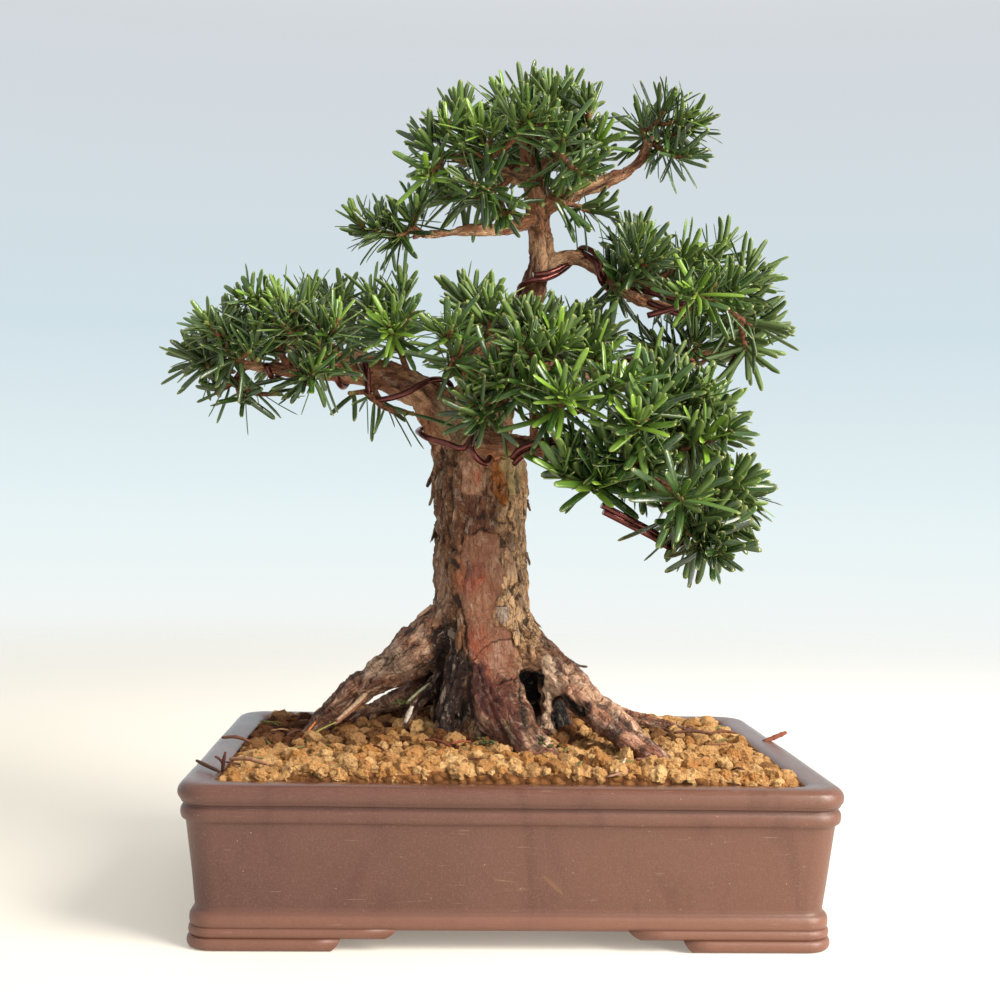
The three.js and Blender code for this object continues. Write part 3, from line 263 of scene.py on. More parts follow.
# Patches of the trunk's front. Each is an outline in x and z (a list of corners, or the middle and two
# radii), its colour, how smooth it is, how far it stands out and how soft its edge is.
PATCHES = [
    ([(-23.5, 166), (-8, 165), (-6, 150), (-10, 146), (-21, 146)], (122, 82, 62), 0.1, -0.4, 2.4),
    ([(-17.3, 147.4), (-11.3, 147.9), (-7.2, 147.6), (-4.4, 146), (-2.7, 143.3), (-1.5, 140.5),
      (-3.4, 137.2), (-1.8, 134.8), (-0.9, 130.8), (-1.2, 128.4), (-3.1, 124), (-4.7, 120.3), (-5.4, 117.1),
      (-6.6, 114.7), (-5.7, 109.5), (0.8, 108.8), (4.8, 106.4), (7, 100), (4.7, 92.4), (3.9, 90.4),
      (-3.3, 88.3), (-6.5, 88.6), (-8.2, 93), (-9.8, 96.2), (-15.9, 97.3), (-16.8, 101.7), (-17.3, 107.3),
      (-18.2, 112.5), (-19.5, 116.9), (-21.6, 120.9), (-22.5, 126.5), (-22.6, 131.7), (-21.1, 138.5),
      (-19.6, 141.4)],
     (138, 96, 74), 0.8, -0.9, 0.5),
    ((-20.1, 129.3, 2.4, 5.2), (166, 100, 56), 0.8, 0.0, 1.8),
    ((-16.7, 131.2, 2.4, 3.8), (106, 66, 56), 0.6, 0.0, 1.8),
    ((-12.4, 132.3, 3.2, 3.4), (130, 74, 58), 0.6, 0.0, 1.8),
    ((-16.2, 125.6, 3.6, 3.0), (150, 76, 54), 0.7, 0.0, 2.6),
    ((-10.8, 127.1, 1.6, 1.8), (160, 82, 54), 0.8, 0.0, 1.2),
    ((-10.2, 117.5, 6.0, 7.6), (148, 104, 80), 0.9, 0.0, 3.0),
    ((-12.6, 102.6, 4.3, 6.2), (146, 76, 48), 0.85, 0.0, 2.6),
    ((-7.8, 97.0, 1.6, 6.5), (152, 88, 58), 0.8, 0.0, 1.2),
    ((-1.2, 99.6, 5.4, 8.5), (152, 110, 92), 0.7, 0.0, 2.4),
    ([(-15.9, 96.9), (-9.4, 96.2), (-7.3, 90.6), (-4, 87.4), (-4.3, 80.2), (-7, 74.6), (-11.1, 78.5),
      (-14, 84.1), (-15.3, 90.1)], (86, 34, 26), 0.5, -0.3, 0.7),
    ((-4.5, 83.0, 3.2, 6.0), (132, 70, 56), 0.3, 0.0, 1.6),
    ((1.0, 73.0, 7.0, 9.5), (98, 52, 38), 0.2, 0.0, 2.5),
    ((-0.4, 74.5, 1.6, 6.5), (104, 98, 58), 0.1, 0.0, 1.4),
    ([(-21, 175.4), (-18.3, 180.7), (-12.7, 179.6), (-9.8, 175.3), (-9.6, 166), (-12.3, 162), (-20, 163.4)],
     (178, 138, 116), 0.6, 0.8, 0.8),
    ((-13.4, 168.6, 1.8, 3.2), (176, 100, 62), 0.5, 0.0, 0.8),
    ([(-9, 177.3), (-4.2, 177), (0.7, 172.7), (0.1, 162.6), (-2.2, 158.1), (-5, 159.3), (-7.2, 164.5)],
     (178, 112, 44), 0.45, -1.0, 0.6),
    ((-6.6, 166.0, 1.1, 2.2), (108, 56, 30), 0.4, -0.3, 0.5),
    ((-3.0, 164.6, 1.1, 1.8), (104, 54, 30), 0.4, -0.3, 0.5),
    ([(-4.7, 180.6), (6.3, 178), (6.4, 170.4), (4.1, 165.1), (0.6, 160.2), (-1.1, 165.4), (-2.9, 172.6)],
     (188, 174, 130), 0.55, -0.6, 0.8),
    ((6.3, 173.0, 1.2, 5.0), (186, 158, 118), 0.5, 0.5, 0.6),
    ([(-29.5, 136), (-26.7, 137.6), (-24.1, 128), (-23.5, 118.4), (-24.1, 108.8), (-27.4, 112.8),
      (-29.9, 117.5)], (158, 130, 114), 0.3, 0.4, 1.6),
    ([(-30.7, 200.9), (-24.4, 202.6), (-17.1, 198.8), (-16.8, 185.9), (-22.8, 184.2), (-28.9, 188.9)],
     (156, 142, 116), 0.5, 0.0, 3.0),
    ([(-2.4, 141.6), (0.6, 140.6), (1.6, 136.4), (0.4, 131.6), (-1.2, 133.4), (-0.4, 137.2)],
     (178, 142, 122), 0.3, 0.6, 0.7),
    ((0.0, 144.8, 3.4, 3.2), (150, 118, 96), 0.2, 0.7, 0.8),
    # Painted shade: the dark hollow between the left root and the trunk.
    ([(-32, 107), (-25.8, 113.6), (-22.5, 108.8), (-18.4, 104.1), (-16.2, 92.1), (-14.6, 74.1), (-20.5, 66),
      (-32.5, 66), (-38.6, 73.8), (-35.6, 83.8), (-30.3, 95.9)], (50, 25, 13), 0.0, -1.0, 2.4),
    # Painted shade: the two black hollows beside the middle root.
    ([(5.5, 91.6), (13.2, 93.3), (14.5, 84.5), (13.6, 68.4), (8.9, 63.5), (5.5, 72.3), (4.5, 84.3)],
     (15, 9, 7), 0.0, -2.4, 1.0),
    ([(20.2, 84.5), (26.5, 80.6), (31, 74.3), (34, 67.9), (30, 61.4), (19.8, 62), (18.8, 74.5)],
     (15, 9, 7), 0.0, -1.8, 1.2),
    # Pale spots on the top of the left root: partly its paler bark, partly painted light.
    ((-47.6, 99.7, 3.0, 3.0), (176, 158, 150), 0.3, 0.2, 1.2),
    ((-55.2, 90.0, 4.0, 3.2), (180, 158, 148), 0.3, 0.2, 1.2),
    # Pale knobs on the right root: partly paler bark, partly painted highlights.
    ((25.0, 85.0, 5.5, 3.4), (206, 166, 146), 0.3, 0.2, 1.6),
    ((36.0, 77.0, 4.0, 3.6), (196, 150, 130), 0.3, 0.2, 1.6),
    ((46.0, 69.5, 5.0, 3.4), (204, 160, 142), 0.3, 0.2, 1.6),
    # The left root painted paler and greyer: partly its own grey bark, partly painted light that the lamps
    # don't give it.
    ((-50.0, 93.0, 15.0, 5.0), (186, 164, 150), 0.1, 0.0, 4.0),
    ((10.0, 97.0, 5.0, 5.0), (196, 158, 128), 0.2, 0.2, 2.4),
    ((20.0, 89.0, 1.6, 2.2), (84, 50, 40), 0.1, 0.0, 1.0),
    ((31.0, 80.0, 1.6, 2.6), (78, 46, 38), 0.1, 0.0, 1.0),
    ((41.2, 73.0, 1.4, 2.4), (78, 46, 38), 0.1, 0.0, 1.0),
    ((54.0, 64.0, 3.4, 3.0), (158, 104, 90), 0.3, 0.4, 1.4),
    ((13.8, 62.5, 6.0, 3.2), (122, 70, 56), 0.3, 0.6, 1.8),
    # The middle root painted near white: partly its own pale wood, partly painted light where the right root
    # shades it.
    ([(12.8, 97), (17, 99), (20.3, 90), (19.3, 78), (18.6, 68), (13.6, 68), (14.2, 82)],
     (250, 226, 208), 0.1, 0.7, 0.8),
    ((-2.0, 82.0, 5.0, 10.0), (104, 58, 46), 0.3, 0.0, 3.0),
    ((9.0, 70.0, 3.0, 5.0), (150, 112, 92), 0.2, 0.2, 2.0),
]

# Cracks in the trunk's front: a line in x and z, its width and its depth. Each is also painted near black,
# partly the dark of the split and partly painted shade.
CRACKS = [
    ([(-24.1, 169), (-23.5, 160), (-23.8, 151.7), (-25, 151.3), (-24.4, 142), (-22.2, 133)], 0.7, -1.4),
    ([(-24, 124), (-20.7, 118.5), (-18.2, 113), (-17.2, 104), (-15.8, 93), (-14.7, 78)], 0.6, -1.3),
    ([(3.8, 138.6), (4.8, 127), (6.6, 119.7), (8.3, 113.3), (9.8, 104)], 0.65, -1.5),
    ([(3.2, 126.5), (1.3, 121.6), (-2.2, 118), (-5, 116.3)], 0.5, -1.2),
    ([(-4.4, 146), (-2.7, 142.9), (0.1, 141.3), (3.5, 140)], 0.5, -1.2),
    ([(-10.2, 175.6), (-9.2, 166), (-7, 158)], 0.6, -1.3),
    ([(-3.8, 177), (-3.5, 164)], 0.4, -0.8),
    ([(-3.3, 88.3), (0.3, 90), (4.3, 90.8)], 0.6, -1.3),
    ([(0.3, 166), (0.9, 152), (3.4, 147)], 0.6, -1.3),
    ([(-17.4, 136), (-19.3, 128)], 0.35, -0.5),
    ([(-63, 90.6), (-51, 99.6), (-40, 108.6), (-31.5, 115)], 0.6, -1.0),
    ([(-28.4, 184), (-27.7, 168), (-29, 152)], 0.6, -1.2),
    ([(-18, 148), (-7, 148.4)], 0.5, -0.8),
    ([(7.6, 160), (8.4, 148), (7.4, 138)], 0.5, -1.2),
]

# Scraps of bark that show against the backdrop or on the trunk: x, z, width, length, lift and colour.
FLAKES = [
    (-2.8, 117.6, 6.8, 6.8, 1.6, (200, 172, 152)), (-33.2, 163, 4.6, 5.0, 1.4, (150, 120, 92)),
    (-31.5, 148, 4.4, 5.0, 1.5, (142, 112, 86)), (8.6, 161, 4.6, 5.0, 1.4, (178, 146, 108)),
    (5.6, 178, 5.0, 6.0, 1.0, (186, 156, 116)), (3.0, 157, 4.5, 6.0, 1.2, (180, 148, 110)),
    (8.8, 139, 4.0, 4.6, 1.1, (166, 134, 102)), (-28.0, 172, 5.0, 7.0, 1.1, (148, 116, 86)),
    (26.5, 95.5, 4.0, 5.0, 2.6, (140, 116, 96)), (0.4, 146.5, 5.0, 6.0, 0.8, (170, 136, 112)),
    (-26.0, 140, 4.5, 6.0, 1.0, (138, 106, 80)), (1.5, 170, 4.0, 7.0, 0.6, (140, 128, 96)),
    (7.4, 169, 4.2, 5.0, 1.0, (176, 142, 106)), (4.4, 149, 4.4, 5.0, 1.0, (182, 148, 112)),
    (5.0, 132, 4.4, 6.0, 1.0, (170, 136, 104)), (6.0, 121, 4.8, 5.0, 1.2, (176, 144, 112)),
    (-27.6, 160, 4.4, 6.0, 1.0, (132, 98, 70)), (-25.4, 151, 4.0, 5.0, 0.9, (142, 108, 80)),
    (11.0, 112, 5.0, 5.0, 1.2, (172, 140, 110)), (14.5, 104, 5.4, 5.0, 1.4, (166, 134, 106)),
]

# Dead bits on the granules: the points of a bit, its width, its thickness and its colour.
LITTER = [
    ([(-55.5, 0, 81.4), (-61, -6, 76.2), (-68.3, -10, 69.8)], 2.6, 1.6, (204, 170, 136)),
    ([(-56.5, -1, 79.0), (-63, -7, 73.0), (-69.3, -11, 68.0)], 1.6, 1.4, (150, 98, 74)),
    ([(-68.7, -10, 69.1), (-76, -12, 65.6), (-81.9, -14, 61.2)], 2.6, 0.5, (186, 178, 96)),
    ([(-77, -10, 69), (-80, -15, 65.4), (-82.2, -20, 62.2)], 1.0, 0.9, (196, 118, 62)),
    ([(-30, -10, 85.9), (-35, -12, 82.4), (-40, -14, 78.1)], 1.4, 1.3, (150, 152, 118)),
    ([(-37.9, -16, 76.8), (-39.2, -17, 73.6), (-40.6, -18, 70.3)], 2.4, 1.8, (224, 212, 192)),
    ([(33, -62, 62.0), (36.5, -63, 62.4), (41, -64, 61.0)], 2.2, 1.2, (178, 122, 108)),
    ([(20, -69, 61.4), (24, -70, 61.0), (29, -72, 60.4)], 1.6, 1.2, (166, 108, 92)),
    ([(46.7, -60, 64.1), (51, -61, 64.0), (56, -63, 63.0)], 2.6, 1.6, (174, 116, 98)),
    ([(33.4, -79, 61.0), (38, -78, 62.0), (43.5, -76, 63.6)], 1.8, 1.0, (182, 136, 112)),
    ([(36.4, -79, 62.6), (39, -76, 64.6), (41, -72, 66.4)], 1.2, 1.0, (206, 182, 150)),
    ([(1.3, -70, 62.0), (6, -71, 62.2), (11.1, -72, 61.6)], 2.2, 0.5, (92, 110, 56)),
    ([(-32.4, -40, 67.2), (-28, -43, 67.6), (-22.8, -48, 66.2)], 1.3, 1.1, (128, 62, 46)),
    ([(-22.8, -46, 66.6), (-19, -45, 67.6), (-15.1, -42, 67.0)], 1.1, 1.0, (136, 70, 52)),
    ([(-117, -57, 61.3), (-112, -63, 60.4), (-106.9, -69, 59.6)], 1.6, 1.4, (84, 52, 40)),
    ([(-110.2, -40, 67.2), (-104.6, -42, 67.8), (-99, -44, 66.4)], 1.6, 1.4, (112, 72, 54)),
    ([(-104.3, -60, 62.6), (-97, -65, 63.6), (-89.1, -70, 62.6)], 1.8, 1.6, (166, 122, 92)),
    ([(-107.3, -58, 57.0), (-107.0, -58.5, 61.0), (-106.2, -59, 65.0)], 1.4, 1.3, (92, 52, 40)),
    ([(-107.0, -58.4, 60.5), (-108.6, -59, 62.6), (-109.8, -60, 63.4)], 1.0, 1.0, (92, 52, 40)),
    ([(113.6, 18, 58.6), (118.4, 19, 60.2), (124.0, 20, 62.4)], 2.6, 2.2, (140, 76, 56)),
    ([(88, 10, 63.0), (94, 12, 63.8), (101, 13, 63.0)], 1.6, 1.3, (118, 74, 54)),
    ([(70, -8, 66.0), (78, -6, 66.6), (86, -5, 65.4)], 1.6, 1.4, (96, 60, 46)),
]
# Colours of the small bits that are scattered, and of the moss, whose tufts are given as x, y, z and size.
SCRAP_COLOURS = ((132, 78, 54), (98, 56, 42), (178, 134, 96), (118, 112, 60))
MOSS_COLOUR = (82, 88, 46)
MOSS = [(-9.2, -40, 66.8, 3.2), (14.9, -46, 67.0, 3.0), (-42.8, -14, 78.0, 2.6), (12.4, -43, 68.4, 2.2)]

# The greatest height of a granule, and the rounds of scattering: radius, how many tries and the lift.
GRAIN_TOP = 73.0
GRAIN_ROUNDS = ((3.4, 420, 0.5), (2.7, 2600, 0.2), (2.1, 6000, 0.0), (1.5, 9000, 0.2))

# Damp spots: the middle in x and y, the two radii and how damp it is.
DAMP_SPOTS = (
    (-92, 20, 40, 50, 1.0), (-40, 30, 34, 34, 0.9), (-20, -28, 20, 10, 0.75), (-62, -20, 22, 16, 0.6),
    (60, 5, 22, 18, 0.6), (20, 40, 60, 40, 0.6), (26, -64, 8, 5, 0.6), (24, -20, 12, 10, 1.0),
)

# Middle, dark and pale tone of the bark on the trunk, the roots and the branches.
BARK_TONES = (
    ((138, 100, 72), (84, 52, 36), (196, 160, 126)),
    ((152, 110, 90), (78, 48, 38), (222, 188, 168)),
    ((184, 134, 104), (112, 74, 54), (228, 192, 162)),
)
# Painted light and shade: the trunk's right side is painted paler, as if lit from the right, and its left
# darker, as if shaded; partly the bark's own paler and darker colours there.
BARK_LIT_EAST = (234, 204, 168)
BARK_SHADED_WEST = (112, 80, 56)
BARK_WARMTH = np.array((1.22, 1.04, 0.84))

# How many vertices of the wood are worked on at once, and how far the grain shifts from limb to limb.
CHUNK = 4000
GRAIN_SHIFT = (31.7, 17.3, 53.1)

# The backdrop by height: warm white at the bottom, then pale blue, blue-grey and grey, and white overhead.
SKY = (
    (-0.14, (252, 250, 245)), (-0.01, (232, 244, 246)), (0.12, (209, 225, 232)), (0.31, (211, 216, 221)),
    (0.60, (250, 250, 250)),
)


# Curves and meshes

def unit(vectors):
    """Vectors of length one."""
    return vectors / np.maximum(np.linalg.norm(vectors, axis=-1, keepdims=True), 1e-9)


def smooth_path(points, spacing):
    """Evenly spaced places on the smooth curve through the points; what else a point carries goes along."""
    points = np.asarray(points, float)
    ends = (2 * points[:1] - points[1:2], 2 * points[-1:] - points[-2:-1])
    padded = np.concatenate((ends[0], points, ends[1]))
    places = []
    steps = np.linspace(0, 1, 17)[:-1]
    for i in range(len(points) - 1):
        p0, p1, p2, p3 = padded[i:i + 4]
        gaps = [max(np.linalg.norm((b - a)[:3]) ** 0.5, 1e-4) for a, b in ((p0, p1), (p1, p2), (p2, p3))]
        start = ((p1 - p0) / gaps[0] - (p2 - p0) / (gaps[0] + gaps[1]) + (p2 - p1) / gaps[1]) * gaps[1]
        end = ((p2 - p1) / gaps[1] - (p3 - p1) / (gaps[1] + gaps[2]) + (p3 - p2) / gaps[2]) * gaps[1]
        for t in steps:
            place = (2 * t ** 3 - 3 * t ** 2 + 1) * p1 + (t ** 3 - 2 * t ** 2 + t) * start
            place = place + (3 * t ** 2 - 2 * t ** 3) * p2 + (t ** 3 - t ** 2) * end
            place[3:] = p1[3:] + (p2[3:] - p1[3:]) * t
            places.append(place)
    places.append(points[-1])
    places = np.array(places)
    run = np.concatenate(([0], np.cumsum(np.linalg.norm(np.diff(places[:, :3], axis=0), axis=1))))
    count = max(int(round(run[-1] / spacing)), 2)
    even = np.linspace(0, run[-1], count + 1)
    return np.stack([np.interp(even, run, places[:, k]) for k in range(places.shape[1])], axis=1)


def path_frames(path):
    """Tangent, normal and binormal at each place of a path, turned as little as possible along it."""
    tangents = unit(np.gradient(path, axis=0))
    start = np.zeros(3)
    start[2 - int(np.argmin(np.abs(tangents[0])[::-1]))] = 1
    aside = unit(np.cross(tangents[0], start))
    normal = np.cross(tangents[0], aside)
    normals = []
    for i, tangent in enumerate(tangents):
        if i:
            turn = np.cross(tangents[i - 1], tangent)
            size = np.linalg.norm(turn)
            if size > 1e-9:
                angle = math.atan2(size, float(np.dot(tangents[i - 1], tangent)))
                axis = turn / size
                normal = (normal * math.cos(angle) + np.cross(axis, normal) * math.sin(angle)
                          + axis * np.dot(axis, normal) * (1 - math.cos(angle)))
        normals.append(normal)
    normals = np.array(normals)
    return tangents, normals, np.cross(tangents, normals)


class Limb:
    """A branch, root or twig: a middle line with a radius and a frame at each place."""

    def __init__(self, points, spacing=1.5):
        line = smooth_path(points, spacing)
        self.path, self.radii = line[:, :3], line[:, 3]
        self.tangents, self.normals, self.binormals = path_frames(self.path)
        self.run = np.concatenate(([0], np.cumsum(np.linalg.norm(np.diff(self.path, axis=0), axis=1))))
        self.length = self.run[-1]

    def at(self, u, values=None):
        """The place at a share u of the limb, or the value there of another of its arrays."""
        values = self.path if values is None else values
        place = u * (len(values) - 1)
        low = min(int(place), len(values) - 2)
        return values[low] + (values[low + 1] - values[low]) * (place - low)


def tube(path, radii, sides, normals, binormals, radius_of=None):
    """Vertices and faces of a closed tube."""
    count = len(path)
    angles = np.linspace(0, 2 * math.pi, sides, endpoint=False)
    scale = np.tile(np.asarray(radii)[:, None], (1, sides))
    if radius_of is not None:
        scale = scale * radius_of(angles[None, :], np.linspace(0, 1, count)[:, None])
    ring = (np.sin(angles)[None, :, None] * normals[:, None, :]
            - np.cos(angles)[None, :, None] * binormals[:, None, :])
    vertices = (path[:, None, :] + ring * scale[:, :, None]).reshape(-1, 3)
    i, j = np.meshgrid(np.arange(count - 1), np.arange(sides), indexing="ij")
    a = i * sides + j
    b = i * sides + (j + 1) % sides
    quads = np.stack((a, b, b + sides, a + sides), axis=-1).reshape(-1, 4)
    vertices = np.concatenate((vertices, path[:1], path[-1:]))
    j = np.arange(sides)
    last = (count - 1) * sides
    caps = np.concatenate((
        np.stack(((j + 1) % sides, j, np.full(sides, count * sides)), axis=1),
        np.stack((last + j, last + (j + 1) % sides, np.full(sides, count * sides + 1)), axis=1)))
    return vertices, [quads, caps]


def joined(parts):
    """One mesh's arrays from several."""
    vertices, faces, start = [], [], 0
    for part_vertices, part_faces in parts:
        vertices.append(part_vertices)
        faces.extend(face + start for face in part_faces)
        start += len(part_vertices)
    return np.concatenate(vertices), faces


def make_mesh(name, vertices, faces, metres=True):
    """A smooth-shaded mesh of arrays of vertices and of faces, turned into metres unless told otherwise."""
    faces = [face for face in faces if len(face)]
    if metres:
        vertices = (np.asarray(vertices) + (POT_X, 0, 0)) * 0.001
    mesh = bpy.data.meshes.new(name)
    loops = np.concatenate([face.ravel() for face in faces]).astype(np.int32)
    sizes = np.concatenate([np.full(len(face), face.shape[1]) for face in faces])
    starts = np.concatenate(([0], np.cumsum(sizes)[:-1])).astype(np.int32)
    mesh.vertices.add(len(vertices))
    mesh.vertices.foreach_set("co", np.asarray(vertices, np.float32).ravel())
    mesh.loops.add(len(loops))
    mesh.loops.foreach_set("vertex_index", loops)
    mesh.polygons.add(len(sizes))
    mesh.polygons.foreach_set("loop_start", starts)
    mesh.update(calc_edges=True)
    mesh.shade_smooth()
    return mesh


def keep_values(mesh, **values):
    """Keeps a number or a vector for each vertex under each name, for the material to read."""
    for name, numbers in values.items():
        numbers = np.asarray(numbers, np.float32)
        kind, key = ("FLOAT", "value") if numbers.ndim == 1 else ("FLOAT_VECTOR", "vector")
        mesh.attributes.new(name, kind, "POINT").data.foreach_set(key, numbers.ravel())


def read_values(items, key, width, kind=np.float32):
    """One property of all the vertices, corners or triangles of a mesh, as an array with a row for each."""
    values = np.empty(len(items) * width, kind)
    items.foreach_get(key, values)
    return values.reshape(-1, width)


def mesh_arrays(mesh):
    """Vertices and triangles of a mesh."""
    mesh.calc_loop_triangles()
    vertices = read_values(mesh.vertices, "co", 3).astype(float)
    return vertices, [read_values(mesh.loop_triangles, "vertices", 3, np.int32)]


def make_object(name, data):
    """A new object in the scene."""
    obj = bpy.data.objects.new(name, data)
    bpy.context.scene.collection.objects.link(obj)
    return obj


def make_piece(name, mesh, materials, slot, *nodes):
    """An object of the tree or its pot, standing for the CAD nodes named."""
    obj = make_object(name, mesh)
    for material in materials if isinstance(materials, list) else [materials]:
        mesh.materials.append(material)
    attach(obj, "root")
    if nodes:
        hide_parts(*nodes)
    return obj


def dress_nodes(material, *nodes):
    """Gives CAD nodes that stay in view their material."""
    for node in nodes:
        bpy.data.objects[node].material_slots[0].material = material


def fractal(places, scale, octaves=4, seed=0.0):
    """Fractal noise from about -1 to 1 at each place."""
    scale = np.broadcast_to(np.asarray(scale, float), (3,))
    return np.array([noise.fractal(Vector(p), 1.0, 2.0, octaves) for p in (places * scale + seed * 17.3)])


def smoothstep(values, low, high):
    """From 0 at the low value to 1 at the high one, flat at both."""
    t = np.clip((values - low) / (high - low), 0, 1)
    return t * t * (3 - 2 * t)


def clamp(value):
    """A value held between 0 and 1."""
    return min(1.0, max(0.0, value))


# Materials

class Nodes:
    """A tree of shader nodes, with short calls for those in use."""

    def __init__(self, tree):
        self.tree = tree

    def feed(self, socket, value):
        if isinstance(value, bpy.types.NodeSocket):
            self.tree.links.new(value, socket)
        elif hasattr(socket.default_value, "__len__") and len(socket.default_value) == 4:
            socket.default_value = (*value, 1.0)[:4]
        else:
            socket.default_value = value

    def add(self, kind, feeds=None, **settings):
        """A new node with its settings and with what feeds its sockets."""
        node = self.tree.nodes.new("ShaderNode" + kind)
        for key, value in settings.items():
            setattr(node, key, value)
        for key, value in (feeds or {}).items():
            self.feed(node.inputs[key], value)
        return node

    def attribute(self, name):
        return self.add("Attribute", attribute_name=name).outputs

    def place(self):
        return self.add("TexCoord").outputs["Object"]

    def split(self, vector):
        return self.add("SeparateXYZ", {0: vector}).outputs

    def stretch(self, vector, scale):
        return self.add("Mapping", {"Vector": vector, "Scale": scale}).outputs[0]

    def noise(self, vector, scale, detail=3.0, roughness=0.55, distortion=0.0):
        feeds = {"Vector": vector, "Scale": scale, "Detail": detail, "Roughness": roughness,
                 "Distortion": distortion}
        return self.add("TexNoise", feeds).outputs["Fac"]

    def cells(self, vector, scale, feature="F1"):
        node = self.add("TexVoronoi", {"Vector": vector, "Scale": scale}, feature=feature)
        return node.outputs["Distance"]

    def math(self, operation, a, b=0.0):
        return self.add("Math", {0: a, 1: b}, operation=operation).outputs[0]

    def times(self, a, b):
        return self.math("MULTIPLY", a, b)

    def total(self, first, *others):
        for other in others:
            first = self.math("ADD", first, other)
        return first

    def off(self, value, level):
        """How far a value is from a level, either way."""
        return self.math("ABSOLUTE", self.math("SUBTRACT", value, level))

    def spread(self, value, low, high, to_low=0.0, to_high=1.0, kind="SMOOTHSTEP"):
        feeds = {"Value": value, "From Min": low, "From Max": high, "To Min": to_low, "To Max": to_high}
        return self.add("MapRange", feeds, interpolation_type=kind).outputs[0]

    def mix(self, factor, a, b, blend="MIX"):
        feeds = {0: factor, 6: a, 7: b}
        return self.add("Mix", feeds, data_type="RGBA", blend_type=blend, clamp_factor=True).outputs[2]

    def layers(self, colour, *rows):
        """Colours laid over one another: a value, its range, the cover at its two ends, and the colour."""
        for value, low, high, at_low, at_high, over in rows:
            colour = self.mix(self.spread(value, low, high, at_low, at_high), colour, over)
        return colour

    def bump(self, height, distance, strength=1.0):
        return self.add("Bump", {"Height": height, "Distance": distance, "Strength": strength}).outputs[0]


class Graph(Nodes):
    """A material made of nodes."""

    def __init__(self, name, **sockets):
        self.material = bpy.data.materials.new(name)
        self.material.use_nodes = True
        super().__init__(self.material.node_tree)
        self.shader = self.tree.nodes["Principled BSDF"]
        for key, value in sockets.items():
            self.feed(self.shader.inputs[key.replace("_", " ")], value)

    def finish(self, colour=None, roughness=None, normal=None):
        for key, value in (("Base Color", colour), ("Roughness", roughness), ("Normal", normal)):
            if value is not None:
                self.feed(self.shader.inputs[key], value)
        return self.material


def tint(red, green, blue):
    """A colour as the eye scales it, 0 to 255, turned into amounts of light."""
    return tuple(((c / 255 + 0.055) / 1.055) ** 2.4 if c > 10 else c / 3295 for c in (red, green, blue))


def needle_material():
    """Dark glossy green above with a paler margin and tip, and dull yellow-green below, with a painted
    grey-green sheen that stands in for the sky's reflection.
    """
    g = Graph("needle", Specular_IOR_Level=0.6)
    across, along, below = g.split(g.attribute("leaf")["Vector"])
    tone, bloom = (g.attribute(name)["Fac"] for name in ("tone", "bloom"))
    streaks = g.noise(g.place(), 900.0, 2.0)
    green = g.mix(g.spread(tone, 0.0, 0.6), (0.004, 0.014, 0.002), (0.032, 0.084, 0.010))
    green = g.mix(g.spread(tone, 0.48, 1.0), green, (0.190, 0.330, 0.030))
    # Painted sheen: a grey-green painted reflection of the sky on older needles.
    green = g.mix(g.times(bloom, 0.60), green, (0.090, 0.132, 0.058))
    underside = g.mix(tone, (0.056, 0.096, 0.024), (0.16, 0.25, 0.050))
    colour = g.layers(
        green,
        (streaks, 0.4, 0.8, 0.0, 0.35, (0.070, 0.120, 0.038)),
        (across, 0.0, 0.16, 0.40, 0.0, (0.090, 0.148, 0.045)),
        (along, 0.0, 0.30, 0.5, 0.0, (0.14, 0.18, 0.035)),
        (below, 0.25, 0.75, 0.0, 1.0, underside),
        (across, 0.70, 1.0, 0.0, 0.50, (0.17, 0.23, 0.036)),
        (along, 0.90, 1.0, 0.0, 0.45, (0.30, 0.30, 0.06)))
    return g.finish(colour, g.spread(below, 0.2, 0.8, 0.21, 0.55), g.bump(streaks, 0.00010, 0.5))


def twig_material():
    """Red-brown scaly bark that turns green towards the tip."""
    g = Graph("twig", Specular_IOR_Level=0.3)
    age = g.attribute("tone")["Fac"]
    grain = g.noise(g.place(), 700.0, 4.0, 0.65)
    bark = g.mix(g.spread(grain, 0.35, 0.65), (0.060, 0.020, 0.010), (0.27, 0.105, 0.045))
    green = g.mix(grain, (0.09, 0.14, 0.03), (0.22, 0.24, 0.06))
    return g.finish(g.mix(age, bark, green), 0.65, g.bump(grain, 0.0004, 0.8))


